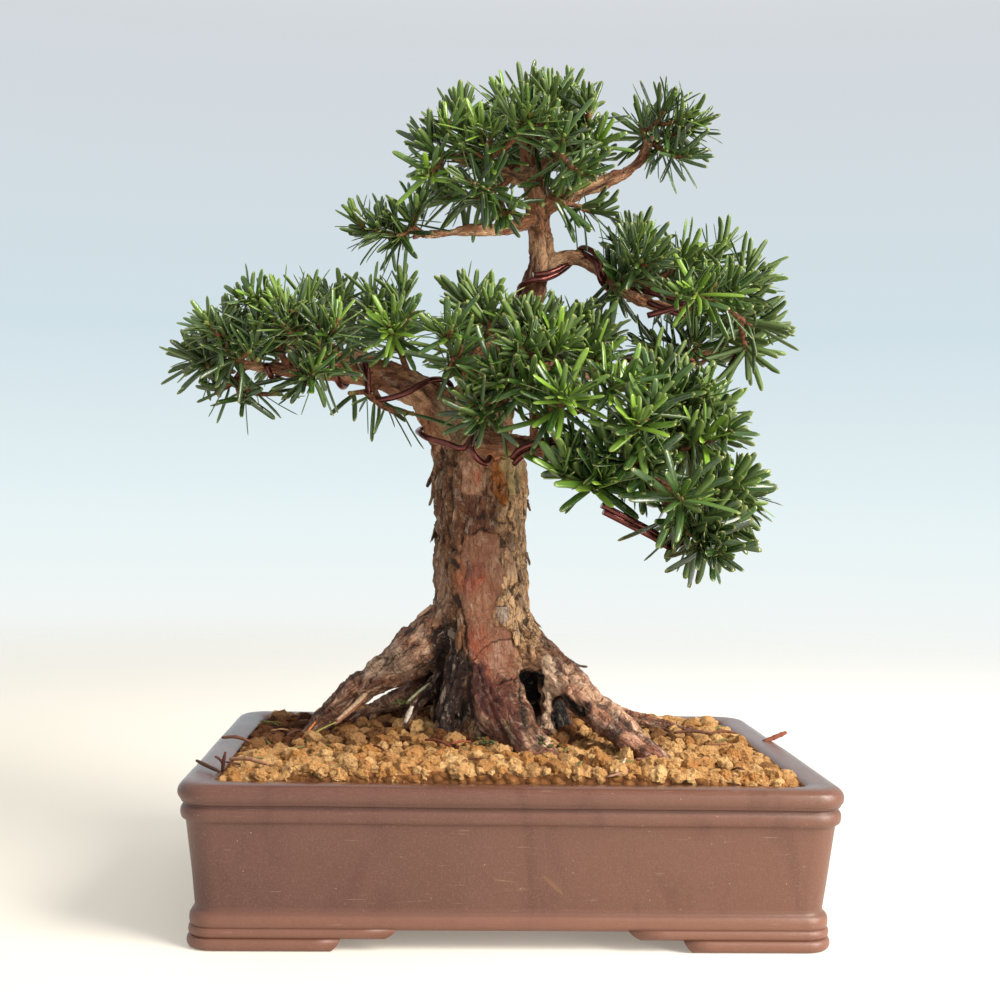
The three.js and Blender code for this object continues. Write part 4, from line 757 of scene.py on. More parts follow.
def bark_material():
    """Flaking bark and bare wood: the mesh says what colour a place is, and fibres and pores are added."""
    g = Graph("bark", Specular_IOR_Level=0.45)
    grain = g.attribute("grain")["Vector"]
    own = g.attribute("paint")["Color"]
    rough, height, ring = (g.attribute(name)["Fac"] for name in ("rough", "height", "ring"))
    fibres = g.noise(g.stretch(grain, (1.0, 1.0, 0.10)), 1300.0, 5.0, 0.65)
    flakes = g.noise(g.stretch(grain, (1.0, 1.0, 0.42)), 520.0, 6.0, 0.72, 0.5)
    edges = g.cells(g.stretch(grain, (1.0, 1.0, 0.30)), 330.0, "DISTANCE_TO_EDGE")
    pores = g.noise(grain, 2200.0, 4.0, 0.7)
    mottle = g.noise(g.stretch(grain, (1.0, 1.0, 0.6)), 210.0, 6.0, 0.7, 0.3)
    scales = g.noise(g.stretch(grain, (1.0, 1.0, 0.50)), 300.0, 6.0, 0.68, 0.6)
    rings = g.noise(g.stretch(grain, (0.30, 0.30, 1.0)), 480.0, 5.0, 0.65, 0.8)
    dark = g.mix(1.0, own, (0.30, 0.20, 0.15), "MULTIPLY")
    pale = g.mix(0.55, own, (0.80, 0.62, 0.46))
    colour = g.layers(
        own,
        (flakes, 0.30, 0.52, 0.85, 0.0, dark),
        (flakes, 0.56, 0.72, 0.0, 0.8, pale),
        (fibres, 0.30, 0.46, 0.6, 0.0, dark))
    colour = g.mix(g.times(g.spread(edges, 0.0, 0.05, 0.7, 0.0), rough), colour, dark)
    even = g.layers(
        own,
        (pores, 0.42, 0.66, 0.0, 0.55, dark),
        (pores, 0.44, 0.30, 0.0, 0.35, pale),
        (mottle, 0.52, 0.66, 0.0, 0.50, dark),
        (mottle, 0.48, 0.36, 0.0, 0.45, pale))
    colour = g.layers(
        colour,
        (g.off(scales, 0.44), 0.0, 0.014, 0.75, 0.0, dark),
        (scales, 0.43, 0.44, 0.55, 0.0, dark),
        (g.off(scales, 0.56), 0.0, 0.014, 0.75, 0.0, dark),
        (scales, 0.56, 0.57, 0.0, 0.6, pale))
    colour = g.mix(g.times(ring, g.spread(rings, 0.36, 0.46, 0.75, 0.0)), colour, dark)
    colour = g.mix(rough, even, colour)
    # Painted shade: low places, in cracks and near the seams where limbs meet, are painted near black;
    # partly the darker inner bark.
    colour = g.layers(colour, (height, 0.0, 0.20, 0.80, 0.0, (0.030, 0.014, 0.009)))
    relief = g.total(
        g.times(flakes, 1.3),
        fibres,
        g.spread(scales, 0.43, 0.45, 0.0, 0.7),
        g.spread(scales, 0.55, 0.57, 0.0, 0.7),
        g.times(ring, g.spread(rings, 0.34, 0.48, -0.9, 0.0)),
        g.spread(edges, 0.0, 0.08, -0.4, 0.0))
    relief = g.total(g.times(relief, rough), g.times(pores, 0.20))
    dullness = g.math("SUBTRACT", g.spread(rough, 0.0, 0.8, 0.46, 0.80), g.times(ring, 0.26))
    return g.finish(colour, dullness, g.bump(relief, 0.0016))


def granule_material():
    """Fired clay granules, from pale tan to rust, dark where they are damp."""
    g = Graph("granule", Specular_IOR_Level=0.2)
    place = g.place()
    tone, damp = (g.attribute(name)["Fac"] for name in ("tone", "damp"))
    coarse = g.noise(place, 240.0, 4.0, 0.6)
    fine = g.noise(place, 1100.0, 5.0, 0.75)
    crumbs = g.noise(place, 520.0, 5.0, 0.7)
    dry = g.layers(
        g.mix(tone, (0.54, 0.235, 0.070), (0.90, 0.560, 0.245)),
        (coarse, 0.40, 0.7, 0.0, 0.6, (0.60, 0.300, 0.092)),
        (fine, 0.54, 0.78, 0.0, 0.40, (0.86, 0.60, 0.31)),
        (fine, 0.26, 0.40, 0.30, 0.0, (0.30, 0.115, 0.034)))
    wet = g.mix(tone, (0.070, 0.022, 0.008), (0.26, 0.100, 0.032))
    colour = g.layers(g.mix(damp, dry, wet), (crumbs, 0.30, 0.44, 0.30, 0.0, (0.30, 0.112, 0.034)))
    pits = g.times(g.cells(place, 1100.0), 0.2)
    relief = g.total(coarse, g.times(fine, 0.6), pits, g.times(crumbs, 1.2))
    return g.finish(colour, 0.94, g.bump(relief, 0.0024))


def bed_material():
    """The damp fines between the granules."""
    g = Graph("granule_bed", Roughness=0.95, Specular_IOR_Level=0.2)
    lumps = g.cells(g.place(), 300.0)
    fine = g.noise(g.place(), 900.0, 5.0, 0.7)
    colour = g.mix(g.spread(lumps, 0.1, 0.8), (0.34, 0.145, 0.046), (0.12, 0.044, 0.014))
    return g.finish(colour, None, g.bump(g.total(g.times(lumps, -1.0), g.times(fine, 0.4)), 0.002))


def clay_material():
    """Unglazed mauve-brown clay with mottles, runs, specks, scratches and a smoother rim, with painted shade
    in the grooves and painted light on the right end and on the feet.
    """
    g = Graph("pot_clay", Specular_IOR_Level=0.45)
    place = g.place()
    east, _, height = g.split(place)
    clouds = g.noise(place, 14.0, 5.0, 0.6)
    runs = g.noise(g.stretch(place, (1.0, 1.0, 0.35)), 34.0, 4.0, 0.6, 1.2)
    grit = g.noise(place, 1500.0, 4.0, 0.7)
    specks = g.cells(place, 230.0)
    chips = g.noise(place, 330.0, 5.0, 0.75)
    blotches = g.noise(place, 31.0, 4.0, 0.7, 0.8)
    scratches = g.noise(g.stretch(place, (0.05, 1.0, 1.0)), 1500.0, 2.0, 0.5, 0.2)
    colour = g.layers(
        g.mix(g.spread(clouds, 0.3, 0.7), CLAY_DARK, CLAY_PALE),
        # Painted light: lighter and warmer towards the right end, as if lit from the right.
        (east, -0.11, 0.13, 0.0, 1.0, CLAY_LIT_RIGHT),
        (runs, 0.5, 0.72, 0.0, 0.55, CLAY_RUN),
        (grit, 0.45, 0.7, 0.0, 0.30, CLAY_GRIT),
        (blotches, 0.66, 0.74, 0.0, 0.45, (0.24, 0.125, 0.050)),
        (chips, 0.72, 0.78, 0.0, 0.6, (0.055, 0.022, 0.016)),
        (specks, 0.028, 0.050, 0.7, 0.0, (0.50, 0.36, 0.28)))
    # Painted shade: each groove is painted darker, where shade falls under the mouldings.
    for level, wide in GROOVES:
        colour = g.layers(colour, (g.off(height, level), wide * 0.3, wide * 1.8, 0.45, 0.0, CLAY_GROOVE_SHADE))
    colour = g.layers(
        colour,
        # Painted light: the feet, the steps and the lowest band are painted paler and warmer, as if lit from
        # the floor below.
        (height, 0.0110, 0.0160, 0.45, 0.0, (0.235, 0.100, 0.062)),
        (scratches, 0.70, 0.76, 0.0, 0.35, (0.34, 0.20, 0.15)))
    polish = g.times(g.spread(height, 0.0560, 0.0580), 0.26)
    roughness = g.math("SUBTRACT", g.spread(clouds, 0.35, 0.7, 0.46, 0.38), polish)
    relief = g.total(g.times(clouds, 2.0), g.times(grit, 0.25), g.spread(chips, 0.70, 0.78, 0.0, -0.8))
    return g.finish(colour, roughness, g.bump(relief, 0.0006, 0.6))


def wire_material():
    """Copper-brown anodised aluminium."""
    g = Graph("wire_metal", Metallic=0.8)
    worn = g.noise(g.place(), 400.0, 4.0, 0.6)
    colour = g.mix(g.spread(worn, 0.45, 0.75), (0.125, 0.036, 0.031), (0.175, 0.057, 0.047))
    return g.finish(colour, g.spread(worn, 0.3, 0.7, 0.18, 0.25))


def bare_metal_material():
    """The bright face of a cut wire."""
    g = Graph("wire_end", Metallic=0.9)
    marks = g.noise(g.stretch(g.place(), (1.0, 0.1, 1.0)), 2500.0, 2.0)
    return g.finish(g.mix(marks, (0.5, 0.47, 0.44), (0.75, 0.73, 0.70)), 0.35)


def screen_material():
    """Black plastic mesh."""
    g = Graph("screen_plastic")
    marks = g.noise(g.place(), 600.0, 3.0)
    colour = g.mix(marks, (0.012, 0.013, 0.014), (0.035, 0.036, 0.038))
    return g.finish(colour, 0.55, g.bump(marks, 0.0002, 0.5))


def litter_material():
    """Dead twigs, bark and moss lying about; each keeps its own colour."""
    g = Graph("litter", Roughness=0.8, Specular_IOR_Level=0.25)
    fibres = g.noise(g.place(), 900.0, 4.0, 0.65)
    own = g.attribute("paint")["Color"]
    colour = g.mix(g.spread(fibres, 0.35, 0.7, 0.0, 0.55), own, (0.05, 0.025, 0.015))
    return g.finish(colour, None, g.bump(fibres, 0.0005, 0.8))


# The pot

# Set-in and height of the pot's outline, from under the body, up the outside, over the rim and down inside.
POT_PROFILE = [
    (15.0, 7.2), (6.9, 7.2), (5.8, 7.4), (5.1, 8.1), (4.85, 9.2), (4.8, 10.6), (4.95, 11.7), (5.5, 12.6),
    (6.3, 13.1), (6.6, 13.7), (6.45, 15.2), (5.1, 27.0), (3.75, 38.0), (2.95, 44.2), (2.75, 45.0),
    (2.1, 45.5), (1.5, 46.0), (1.2, 46.9), (1.05, 48.0), (1.15, 49.2), (1.6, 50.1), (2.1, 50.6), (2.3, 51.0),
    (2.2, 51.4), (1.4, 51.7), (1.2, 52.0), (1.15, 52.5), (0.75, 52.9), (0.35, 53.6), (0.12, 54.5),
    (0.1, 55.5), (0.35, 56.6), (0.85, 57.5), (1.7, 58.3), (2.9, 58.8), (4.5, 59.0), (7.5, 58.9),
    (10.2, 58.7), (11.6, 58.35), (12.5, 57.7), (13.0, 56.7), (13.2, 54.5), (13.6, 40.0), (14.2, 26.0),
    (15.0, 12.0),
]
STEP_PROFILE = [(15.0, 4.2), (6.0, 4.2), (5.2, 4.5), (4.7, 5.2), (4.55, 6.2), (4.7, 7.2), (5.3, 7.9),
                (6.4, 8.3), (15.0, 8.3)]
FOOT_PROFILE = [(17.0, 0.0), (5.8, 0.0), (4.9, 0.3), (4.4, 1.0), (4.15, 2.0), (4.2, 3.1), (4.6, 3.9),
                (5.6, 4.5), (17.0, 4.5)]

# Half the gap between two corners along x and along y, and how far the ends slant.
STEP_GAPS = (41, 21, 5)
FOOT_GAPS = (61, 38, 3.4)


def corner_radius(inset):
    """Radius of the pot's corners, which is less further in."""
    return max(POT_CORNER - inset * 0.5, 3.0)


def pot_outline(inset, per_corner, per_side):
    """One level of the pot: a rectangle with round corners."""
    radius = corner_radius(inset)
    half_x = POT_LENGTH / 2 - inset - radius
    half_y = POT_DEPTH / 2 - inset - radius
    corners = ((half_x, half_y), (-half_x, half_y), (-half_x, -half_y), (half_x, -half_y))
    loop = []
    for i, (cx, cy) in enumerate(corners):
        for k in range(per_corner + 1):
            angle = (i + k / per_corner) * math.pi / 2
            loop.append((cx + radius * math.cos(angle), cy + radius * math.sin(angle)))
        x, y = loop[-1]
        nx, ny = corners[(i + 1) % 4]
        for t in np.linspace(0, 1, per_side + 1)[1:-1]:
            loop.append((x + (nx - cx) * t, y + (ny - cy) * t))
    return np.array(loop)


def hand_made(vertices, amount):
    """Moves vertices a little, as clay does when it is pressed and fired."""
    shift = np.stack([fractal(vertices, 0.022, 3, seed) for seed in (1.0, 2.0, 3.0)], axis=1)
    fade = np.clip(vertices[:, 2:3] / 12.0, 0.0, 1.0)
    inward = np.abs(shift) * amount * fade * np.sign(vertices) * (1, 1, 0)
    return vertices - inward + shift * (0, 0, amount * 0.5) * fade


def at_height(outline, z):
    """An outline in x and y as points at one height."""
    return np.column_stack((outline, np.full(len(outline), z)))


def lofted(loops, closed_loop=True, cap=False):
    """Vertices and faces of a skin over loops that run outward-facing up the outside."""
    size = len(loops[0])
    vertices = np.concatenate(loops)
    across = size if closed_loop else size - 1
    i, j = np.meshgrid(np.arange(len(loops) - 1), np.arange(across), indexing="ij")
    a = i * size + j
    b = i * size + (j + 1) % size
    faces = [np.stack((a, b, b + size, a + size), axis=-1).reshape(-1, 4)]
    if cap:
        middle = vertices[-size:].mean(axis=0)
        vertices = np.concatenate((vertices, [middle]))
        j = np.arange(size) + (len(loops) - 1) * size
        faces.append(np.stack((j, np.roll(j, -1), np.full(size, len(vertices) - 1)), axis=1))
    return vertices, faces


def corner_strip(profile, gap_x, gap_y, flare):
    """A foot or step at each corner: the profile swept round the corner, with slanting ends."""
    parts = []
    bottom, top = profile[0][1], profile[-1][1]
    for sx in (1, -1):
        for sy in (1, -1):
            loops = []
            for inset, z in profile:
                slant = flare * (1 - (z - bottom) / (top - bottom)) ** 1.5
                radius = corner_radius(inset)
                x, y = POT_LENGTH / 2 - inset, POT_DEPTH / 2 - inset
                start_y, end_x = gap_y + slant, gap_x + slant
                path = [(x, start_y + (y - radius - start_y) * t) for t in np.linspace(0, 1, 6)]
                path += [(x - radius + radius * math.cos(a), y - radius + radius * math.sin(a))
                         for a in np.linspace(0, math.pi / 2, 9)[1:]]
                path += [(x - radius + (end_x - x + radius) * t, y) for t in np.linspace(0, 1, 6)[1:]]
                loops.append(np.array([(px * sx, py * sy, z) for px, py in path]))
            vertices, faces = lofted(loops, closed_loop=False)
            size = len(loops[0])
            ends = [np.array([[k * size for k in range(len(profile))]]),
                    np.array([[k * size + size - 1 for k in reversed(range(len(profile)))]])]
            faces = faces + ends
            if sx * sy < 0:
                faces = [face[:, ::-1] for face in faces]
            parts.append((vertices, faces))
    return joined(parts)


def build_pot():
    """The pot's walls, mouldings, feet and floor, as one skin."""
    loops = [at_height(pot_outline(inset, 8, 14), z) for inset, z in POT_PROFILE]
    parts = [lofted(loops), corner_strip(STEP_PROFILE, *STEP_GAPS), corner_strip(FOOT_PROFILE, *FOOT_GAPS)]
    vertices, faces = joined(parts)
    parts = [(hand_made(vertices, 0.5), faces), drained_floor(loops[0][:, :2], POT_UNDERSIDE, True),
             drained_floor(loops[-1][:, :2], POT_FLOOR, False), drain_walls()]
    mesh = make_mesh("pot_body", *joined(parts))
    make_piece("pot_body", mesh, clay_material(), "pot_clay", "pot")


def drain_outline(x):
    """The edge of a drain hole, in x and y."""
    circle = np.linspace(0, 2 * math.pi, DRAIN_SIDES, endpoint=False)
    return np.column_stack((x + DRAIN_RADIUS * np.cos(circle), DRAIN_RADIUS * np.sin(circle)))


def drained_floor(outline, z, flip):
    """The pot's floor or underside, with its two drain holes."""
    curve = bpy.data.curves.new("floor", "CURVE")
    curve.dimensions = "2D"
    curve.fill_mode = "BOTH"
    for ring in (outline, *(drain_outline(x) for x in DRAIN_HOLES)):
        spline = curve.splines.new("POLY")
        spline.points.add(len(ring) - 1)
        corners = np.column_stack((at_height(ring, 0.0), np.ones(len(ring))))
        spline.points.foreach_set("co", corners.ravel())
        spline.use_cyclic_u = True
    obj = make_object("floor", curve)
    mesh = bpy.data.meshes.new_from_object(obj.evaluated_get(bpy.context.evaluated_depsgraph_get()))
    vertices, (triangles,) = mesh_arrays(mesh)
    bpy.data.objects.remove(obj)
    bpy.data.curves.remove(curve)
    bpy.data.meshes.remove(mesh)
    vertices[:, 2] = z
    a, b, c = (vertices[triangles[:, k]] for k in range(3))
    wrong = (np.cross(b - a, c - a)[:, 2] > 0) == flip
    triangles[wrong] = triangles[wrong][:, ::-1]
    return vertices, [triangles]


def drain_walls():
    """The walls of the drain holes."""
    levels = (POT_FLOOR, POT_UNDERSIDE)
    return joined([lofted([at_height(drain_outline(x), z) for z in levels]) for x in DRAIN_HOLES])


# The granules

def soil_height(x, y):
    """The lie of the granules: heaped round the trunk, up to the rim in front, lower at the ends."""
    edge = 54.5 + 4.5 * (1 - (x / 110) ** 4)
    heap = 9.5 * np.exp(-((x + 14) / 60) ** 2 - ((y - 14) / 52) ** 2)
    front = 1.4 * smoothstep(-y, 45, 80) * (1 - (x / 110) ** 4)
    back = -1.5 * smoothstep(y, 50, 80)
    return edge + heap + front + back


def ball(subdivisions):
    """Vertices and triangles of a ball of radius one."""
    bm = bmesh.new()
    bmesh.ops.create_icosphere(bm, subdivisions=subdivisions, radius=1.0)
    bm.verts.ensure_lookup_table()
    vertices = np.array([vertex.co[:] for vertex in bm.verts])
    faces = np.array([[vertex.index for vertex in face.verts] for face in bm.faces])
    bm.free()
    return vertices, faces


def dent(place, k, seed):
    """How near a place is to the nearest of some random points."""
    return min(noise.voronoi(Vector(place) * 1.3 + Vector((k * 3.7, seed, 0)))[0][0], 1)


def grain_shapes(subdivisions, count, seed, angular=0.0):
    """Irregular lumps to scatter, round or broken off along planes: their vertices and shared faces."""
    generator = np.random.default_rng(int(seed * 10))
    base, faces = ball(subdivisions)
    shapes = []
    for k in range(count):
        lump = fractal(base, 0.9, 2, seed + k) * 0.34
        rubble = fractal(base, 2.6, 3, seed + k + 0.5) * 0.24
        dents = np.array([dent(place, k, seed) for place in base])
        round_lump = 1 + lump + rubble - 0.28 * (dents - 0.5)
        planes = unit(generator.normal(size=(11, 3)))
        reach = generator.uniform(0.74, 1.0, 11) / np.maximum(base @ planes.T, 0.05)
        broken = np.minimum(reach.min(axis=1), 1.25) * (1 + 1.3 * rubble + 0.3 * lump)
        shapes.append(base * (round_lump + (broken - round_lump) * angular)[:, None])
    return shapes, faces


def spin(generator, count):
    """Random rotations as matrices."""
    q = unit(generator.normal(size=(count, 4)))
    w, x, y, z = q.T
    return np.stack((
        np.stack((1 - 2 * (y * y + z * z), 2 * (x * y - z * w), 2 * (x * z + y * w)), -1),
        np.stack((2 * (x * y + z * w), 1 - 2 * (x * x + z * z), 2 * (y * z - x * w)), -1),
        np.stack((2 * (x * z - y * w), 2 * (y * z + x * w), 1 - 2 * (x * x + y * y)), -1)), axis=1)


def scatter_grains(limbs):
    """Places for the granules: big ones first, small ones in the spaces that they leave."""
    generator = np.random.default_rng(GRAIN_SEED)
    half_x, half_y = POT_LENGTH / 2 - RIM_WIDTH - 0.6, POT_DEPTH / 2 - RIM_WIDTH - 0.6
    low = [limb for name, limb in limbs.items() if name.startswith(("root", "trunk"))]
    wood = np.concatenate([limb.path for limb in low])
    wood_radii = np.concatenate([limb.radii for limb in low])
    placed = np.empty((0, 4))
    for size, tries, lift in GRAIN_ROUNDS:
        for x, y, s in generator.uniform((-half_x, -half_y, 0.86), (half_x, half_y, 1.16), (tries, 3)):
            r = size * s
            over_x, over_y = max(abs(x) + r - half_x + 6, 0), max(abs(y) + r - half_y + 6, 0)
            if math.hypot(over_x, over_y) > 6:
                continue
            z = float(soil_height(x, y)) + lift + 0.55 * r + 0.65 * float(generator.normal())
            place = np.array((x, y, z))
            if np.any(np.linalg.norm(placed[:, :3] - place, axis=1) < 0.80 * (placed[:, 3] + r)):
                continue
            if np.any(np.linalg.norm(wood - place, axis=1) < wood_radii + 0.35 * r):
                continue
            placed = np.concatenate((placed, [(*place, r)]))
    return np.concatenate((placed, edge_grains(generator))), generator


def edge_grains(generator):
    """Small grains packed along the pot's wall."""
    inset = RIM_WIDTH + 1.4
    outline = pot_outline(inset, 3, 36)
    rows = []
    for x, y in np.concatenate((outline, outline * 0.972)):
        r = generator.uniform(2.5, 3.9)
        pull = 1 - (r - 0.9 + 2.2 * generator.random()) / math.hypot(x, y)
        x, y = x * pull + generator.normal(0, 0.8), y * pull
        rows.append((x, y, float(soil_height(x, y)) + generator.uniform(-0.9, 1.1), r))
    return np.array(rows)


def damp_at(x, y):
    """How damp the granules are: dark behind and to the left, and in a patch before the trunk."""
    damp = np.zeros(np.shape(x))
    for sx, sy, rx, ry, amount in DAMP_SPOTS:
        damp = np.maximum(damp, amount * np.exp(-(((x - sx) / rx) ** 2 + ((y - sy) / ry) ** 2) ** 1.5))
    return damp


def build_granules(limbs):
    """The loose granules in three pieces, and the bed under them; the large ones in front are the finest."""
    placed, generator = scatter_grains(limbs)
    material = granule_material()
    left, front = placed[:, 0] < 0, placed[:, 1] < -8
    groups = {
        "granules_front_left": front & left,
        "granules_front_right": front & ~left,
        "granules_back": ~front,
    }
    for index, (name, chosen) in enumerate(groups.items()):
        large = chosen & front & (placed[:, 3] > 2.3)
        parts, tones, damps = zip(*(
            grain_arrays(grains, subdivisions, 4.0 + index, generator)
            for grains, subdivisions in ((placed[large], 3), (placed[chosen & ~large], 2))))
        mesh = make_mesh(name, *joined(parts))
        keep_values(mesh, tone=np.concatenate(tones), damp=np.concatenate(damps))
        mesh.shade_flat()
        make_piece(name, mesh, material, "granules")
    dress_nodes(bed_material(), "soil")


def grain_arrays(grains, subdivisions, seed, generator):
    """Shape, tone and damp of a set of grains, given as x, y, z and radius."""
    shapes, faces = grain_shapes(subdivisions, 9, seed, 0.85)
    turns = spin(generator, len(grains))
    stretch = generator.uniform((0.85, 0.85, 0.72), (1.18, 1.18, 1.0), (len(grains), 3))
    base = np.array(shapes)[generator.integers(0, len(shapes), len(grains))]
    vertices = np.einsum("nij,nvj->nvi", turns, base) * stretch[:, None, :] * grains[:, None, 3:4]
    vertices = vertices + grains[:, None, :3]
    vertices[:, :, 2] = np.minimum(vertices[:, :, 2], GRAIN_TOP)
    count = len(shapes[0])
    faces = (faces[None] + (np.arange(len(grains)) * count)[:, None, None]).reshape(-1, 3)
    tone = np.clip(generator.normal(0.46, 0.34, len(grains)), 0, 1)
    damp = damp_at(grains[:, 0], grains[:, 1]) + generator.normal(0, 0.12, len(grains))
    damp = np.where(generator.random(len(grains)) < 0.08, damp + 0.4, damp)
    damp = smoothstep(damp, 0.15, 0.75)
    return (vertices.reshape(-1, 3), [faces]), np.repeat(tone, count), np.repeat(damp, count)


def scattered_bits(generator):
    """Small dead bits that lie anywhere on the granules except at the trunk, as LITTER gives them."""
    bits = []
    for x, y, turn in generator.uniform((-104, -76, 0), (104, 60, math.pi), (BIT_COUNT, 3)):
        if abs(x + 8) < 34 and abs(y) < 34:
            continue
        lie = np.array((math.cos(turn), math.sin(turn), generator.normal(0, 0.15)))
        half = lie * generator.uniform(3, 7)
        middle = np.array((x, y, float(soil_height(x, y)) + 3.6))
        points = (middle - half, middle + (0, 0, 0.8), middle + half)
        wide = generator.uniform(0.9, 1.9)
        bits.append((points, wide, 0.7, SCRAP_COLOURS[int(generator.integers(0, 4))]))
    return bits


def build_litter():
    """Bits of twig, bark and needle that lie on the granules, and tufts of moss."""
    generator = np.random.default_rng(LITTER_SEED)
    parts, paints = [], []
    for points, wide, thick, colour in [*LITTER, *scattered_bits(generator)]:
        path = smooth_path(points, 1.2)
        swell = 0.55 + 0.45 * np.sin(math.pi * (0.12 + 0.76 * np.linspace(0, 1, len(path))))
        radii = swell * generator.uniform(0.85, 1.15, len(path))
        ahead = np.gradient(path, axis=0)
        level = unit(np.cross(UP, ahead))
        upright = unit(np.cross(ahead, level))
        parts.append(tube(path, radii, 8, level * wide / 2, -upright * thick / 2))
        paints.append(np.tile(tint(*colour), (len(parts[-1][0]), 1)) * generator.uniform(0.85, 1.15))
    shapes, faces = grain_shapes(2, 4, 40.0)
    for x, y, z, size in MOSS:
        for _ in range(TUFT_COUNT):
            place = np.array((x, y, z)) + generator.normal(0, 1, 3) * (size * 0.6, size * 0.6, 0.5)
            tuft = shapes[int(generator.integers(0, 4))] * (1, 1, 0.7) * size * generator.uniform(0.12, 0.28)
            parts.append((tuft + place, [faces]))
            paints.append(np.tile(tint(*MOSS_COLOUR), (len(tuft), 1)) * generator.uniform(0.6, 1.2))
    mesh = make_mesh("litter", *joined(parts))
    keep_values(mesh, paint=np.concatenate(paints))
    make_piece("litter", mesh, litter_material(), None)


# The wood

def trunk_flutes(angle, u):
    """How the trunk's radius rises and falls round it."""
    return 1 + 0.07 * (np.cos(3 * angle + 1.2) + 0.6 * np.cos(5 * angle + 2 * u))


def temporary(vertices, faces):
    """An object to work on, still in millimetres."""
    return make_object("raw", make_mesh("raw", vertices, faces, metres=False))


def worked(obj, *modifiers):
    """The object's mesh after the modifiers; the object goes."""
    for kind, settings in modifiers:
        modifier = obj.modifiers.new(kind, kind)
        for key, value in settings.items():
            setattr(modifier, key, value)
    evaluated = obj.evaluated_get(bpy.context.evaluated_depsgraph_get())
    mesh = bpy.data.meshes.new_from_object(evaluated)
    bpy.data.objects.remove(obj)
    return mesh


def box_arrays(low, high):
    """Vertices and faces of a box, from its lowest and its highest corner."""
    (x0, y0, z0), (x1, y1, z1) = low, high
    corners = ((x0, y0), (x1, y0), (x1, y1), (x0, y1))
    vertices = np.array([(x, y, z) for z in (z0, z1) for x, y in corners], float)
    faces = np.array([(3, 2, 1, 0), (4, 5, 6, 7), (0, 1, 5, 4), (1, 2, 6, 5), (2, 3, 7, 6), (3, 0, 4, 7)])
    return vertices, [faces]


def carved_trunk(limb):
    """The trunk, sawn off level at its head and carved out in front below the cut."""
    trunk = temporary(*tube(limb.path, limb.radii, 48, limb.normals, limb.binormals, trunk_flutes))
    round_shape, faces = ball(3)
    cutters = [temporary(*box_arrays(*HEAD_CUT)),
               temporary(unit(round_shape) * HOLLOW_RADII + HOLLOW_PLACE, [faces])]
    settings = {"operation": "DIFFERENCE", "solver": "EXACT"}
    mesh = worked(trunk, *(("BOOLEAN", {**settings, "object": cutter}) for cutter in cutters))
    for cutter in cutters:
        bpy.data.objects.remove(cutter)
    return mesh_arrays(mesh)


def nearest_grain(vertices, limbs):
    """For each vertex, the limb that it belongs to, its place along and round that limb, and how much nearer
    that limb is than the next."""
    names = list(limbs)
    path, radii, run, tangents, normals, binormals = (
        np.concatenate([getattr(limbs[name], key) for name in names])
        for key in ("path", "radii", "run", "tangents", "normals", "binormals"))
    owner = np.concatenate([np.full(len(limbs[name].path), k) for k, name in enumerate(names)])
    starts = np.concatenate(([0], np.cumsum([len(limbs[name].path) for name in names])[:-1]))
    which, grain, seam = [], [], []
    for start in range(0, len(vertices), CHUNK):
        chunk = vertices[start:start + CHUNK]
        distance = np.sqrt(np.maximum(
            (chunk ** 2).sum(1)[:, None] + (path ** 2).sum(1)[None] - 2 * chunk @ path.T, 0)) - radii[None]
        best = distance.argmin(axis=1)
        by_limb = np.minimum.reduceat(distance, starts, axis=1)
        ordered = np.sort(by_limb, axis=1)
        seam.append(ordered[:, 1] - ordered[:, 0])
        off = chunk - path[best]
        along = (off * tangents[best]).sum(1)
        flat = off - tangents[best] * along[:, None]
        a, b = (flat * normals[best]).sum(1), (flat * binormals[best]).sum(1)
        size = np.maximum(np.hypot(a, b), 0.01)
        grain.append(np.column_stack((a / size * radii[best], b / size * radii[best], run[best] + along)))
        which.append(owner[best])
    which, grain = np.concatenate(which), np.concatenate(grain)
    grain = grain + which[:, None] * GRAIN_SHIFT
    return names, which, grain, np.concatenate(seam)


def front_features(vertices, facing, paint):
    """Patches and cracks of the trunk's front: the paint with them, how smooth a place is, how far it stands
    out and how much of it is a crack."""
    smooth, stand, cut = np.zeros((3, len(vertices)))
    wobble = np.stack([fractal(vertices, 0.16, 3, seed) for seed in (6.0, 7.0)], axis=1)
    seen = vertices[:, (0, 2)] + wobble * (1.6, 2.2)
    front = smoothstep(-facing[:, 1], 0.02, 0.30) * (vertices[:, 1] < 8) * (vertices[:, 2] < 206)
    for outline, colour, evenness, depth, soft in PATCHES:
        share = front * smoothstep(-outside(seen, outline), -soft, soft)
        paint = paint + (np.array(tint(*colour)) - paint) * share[:, None]
        smooth = np.maximum(smooth, share * evenness)
        stand = stand + share * depth
    for line, width, depth in CRACKS:
        share = front * np.exp(-(away_from(seen, line) / width) ** 2)
        cut = np.maximum(cut, share)
        stand = stand + share * depth
    return paint, smooth, stand, cut


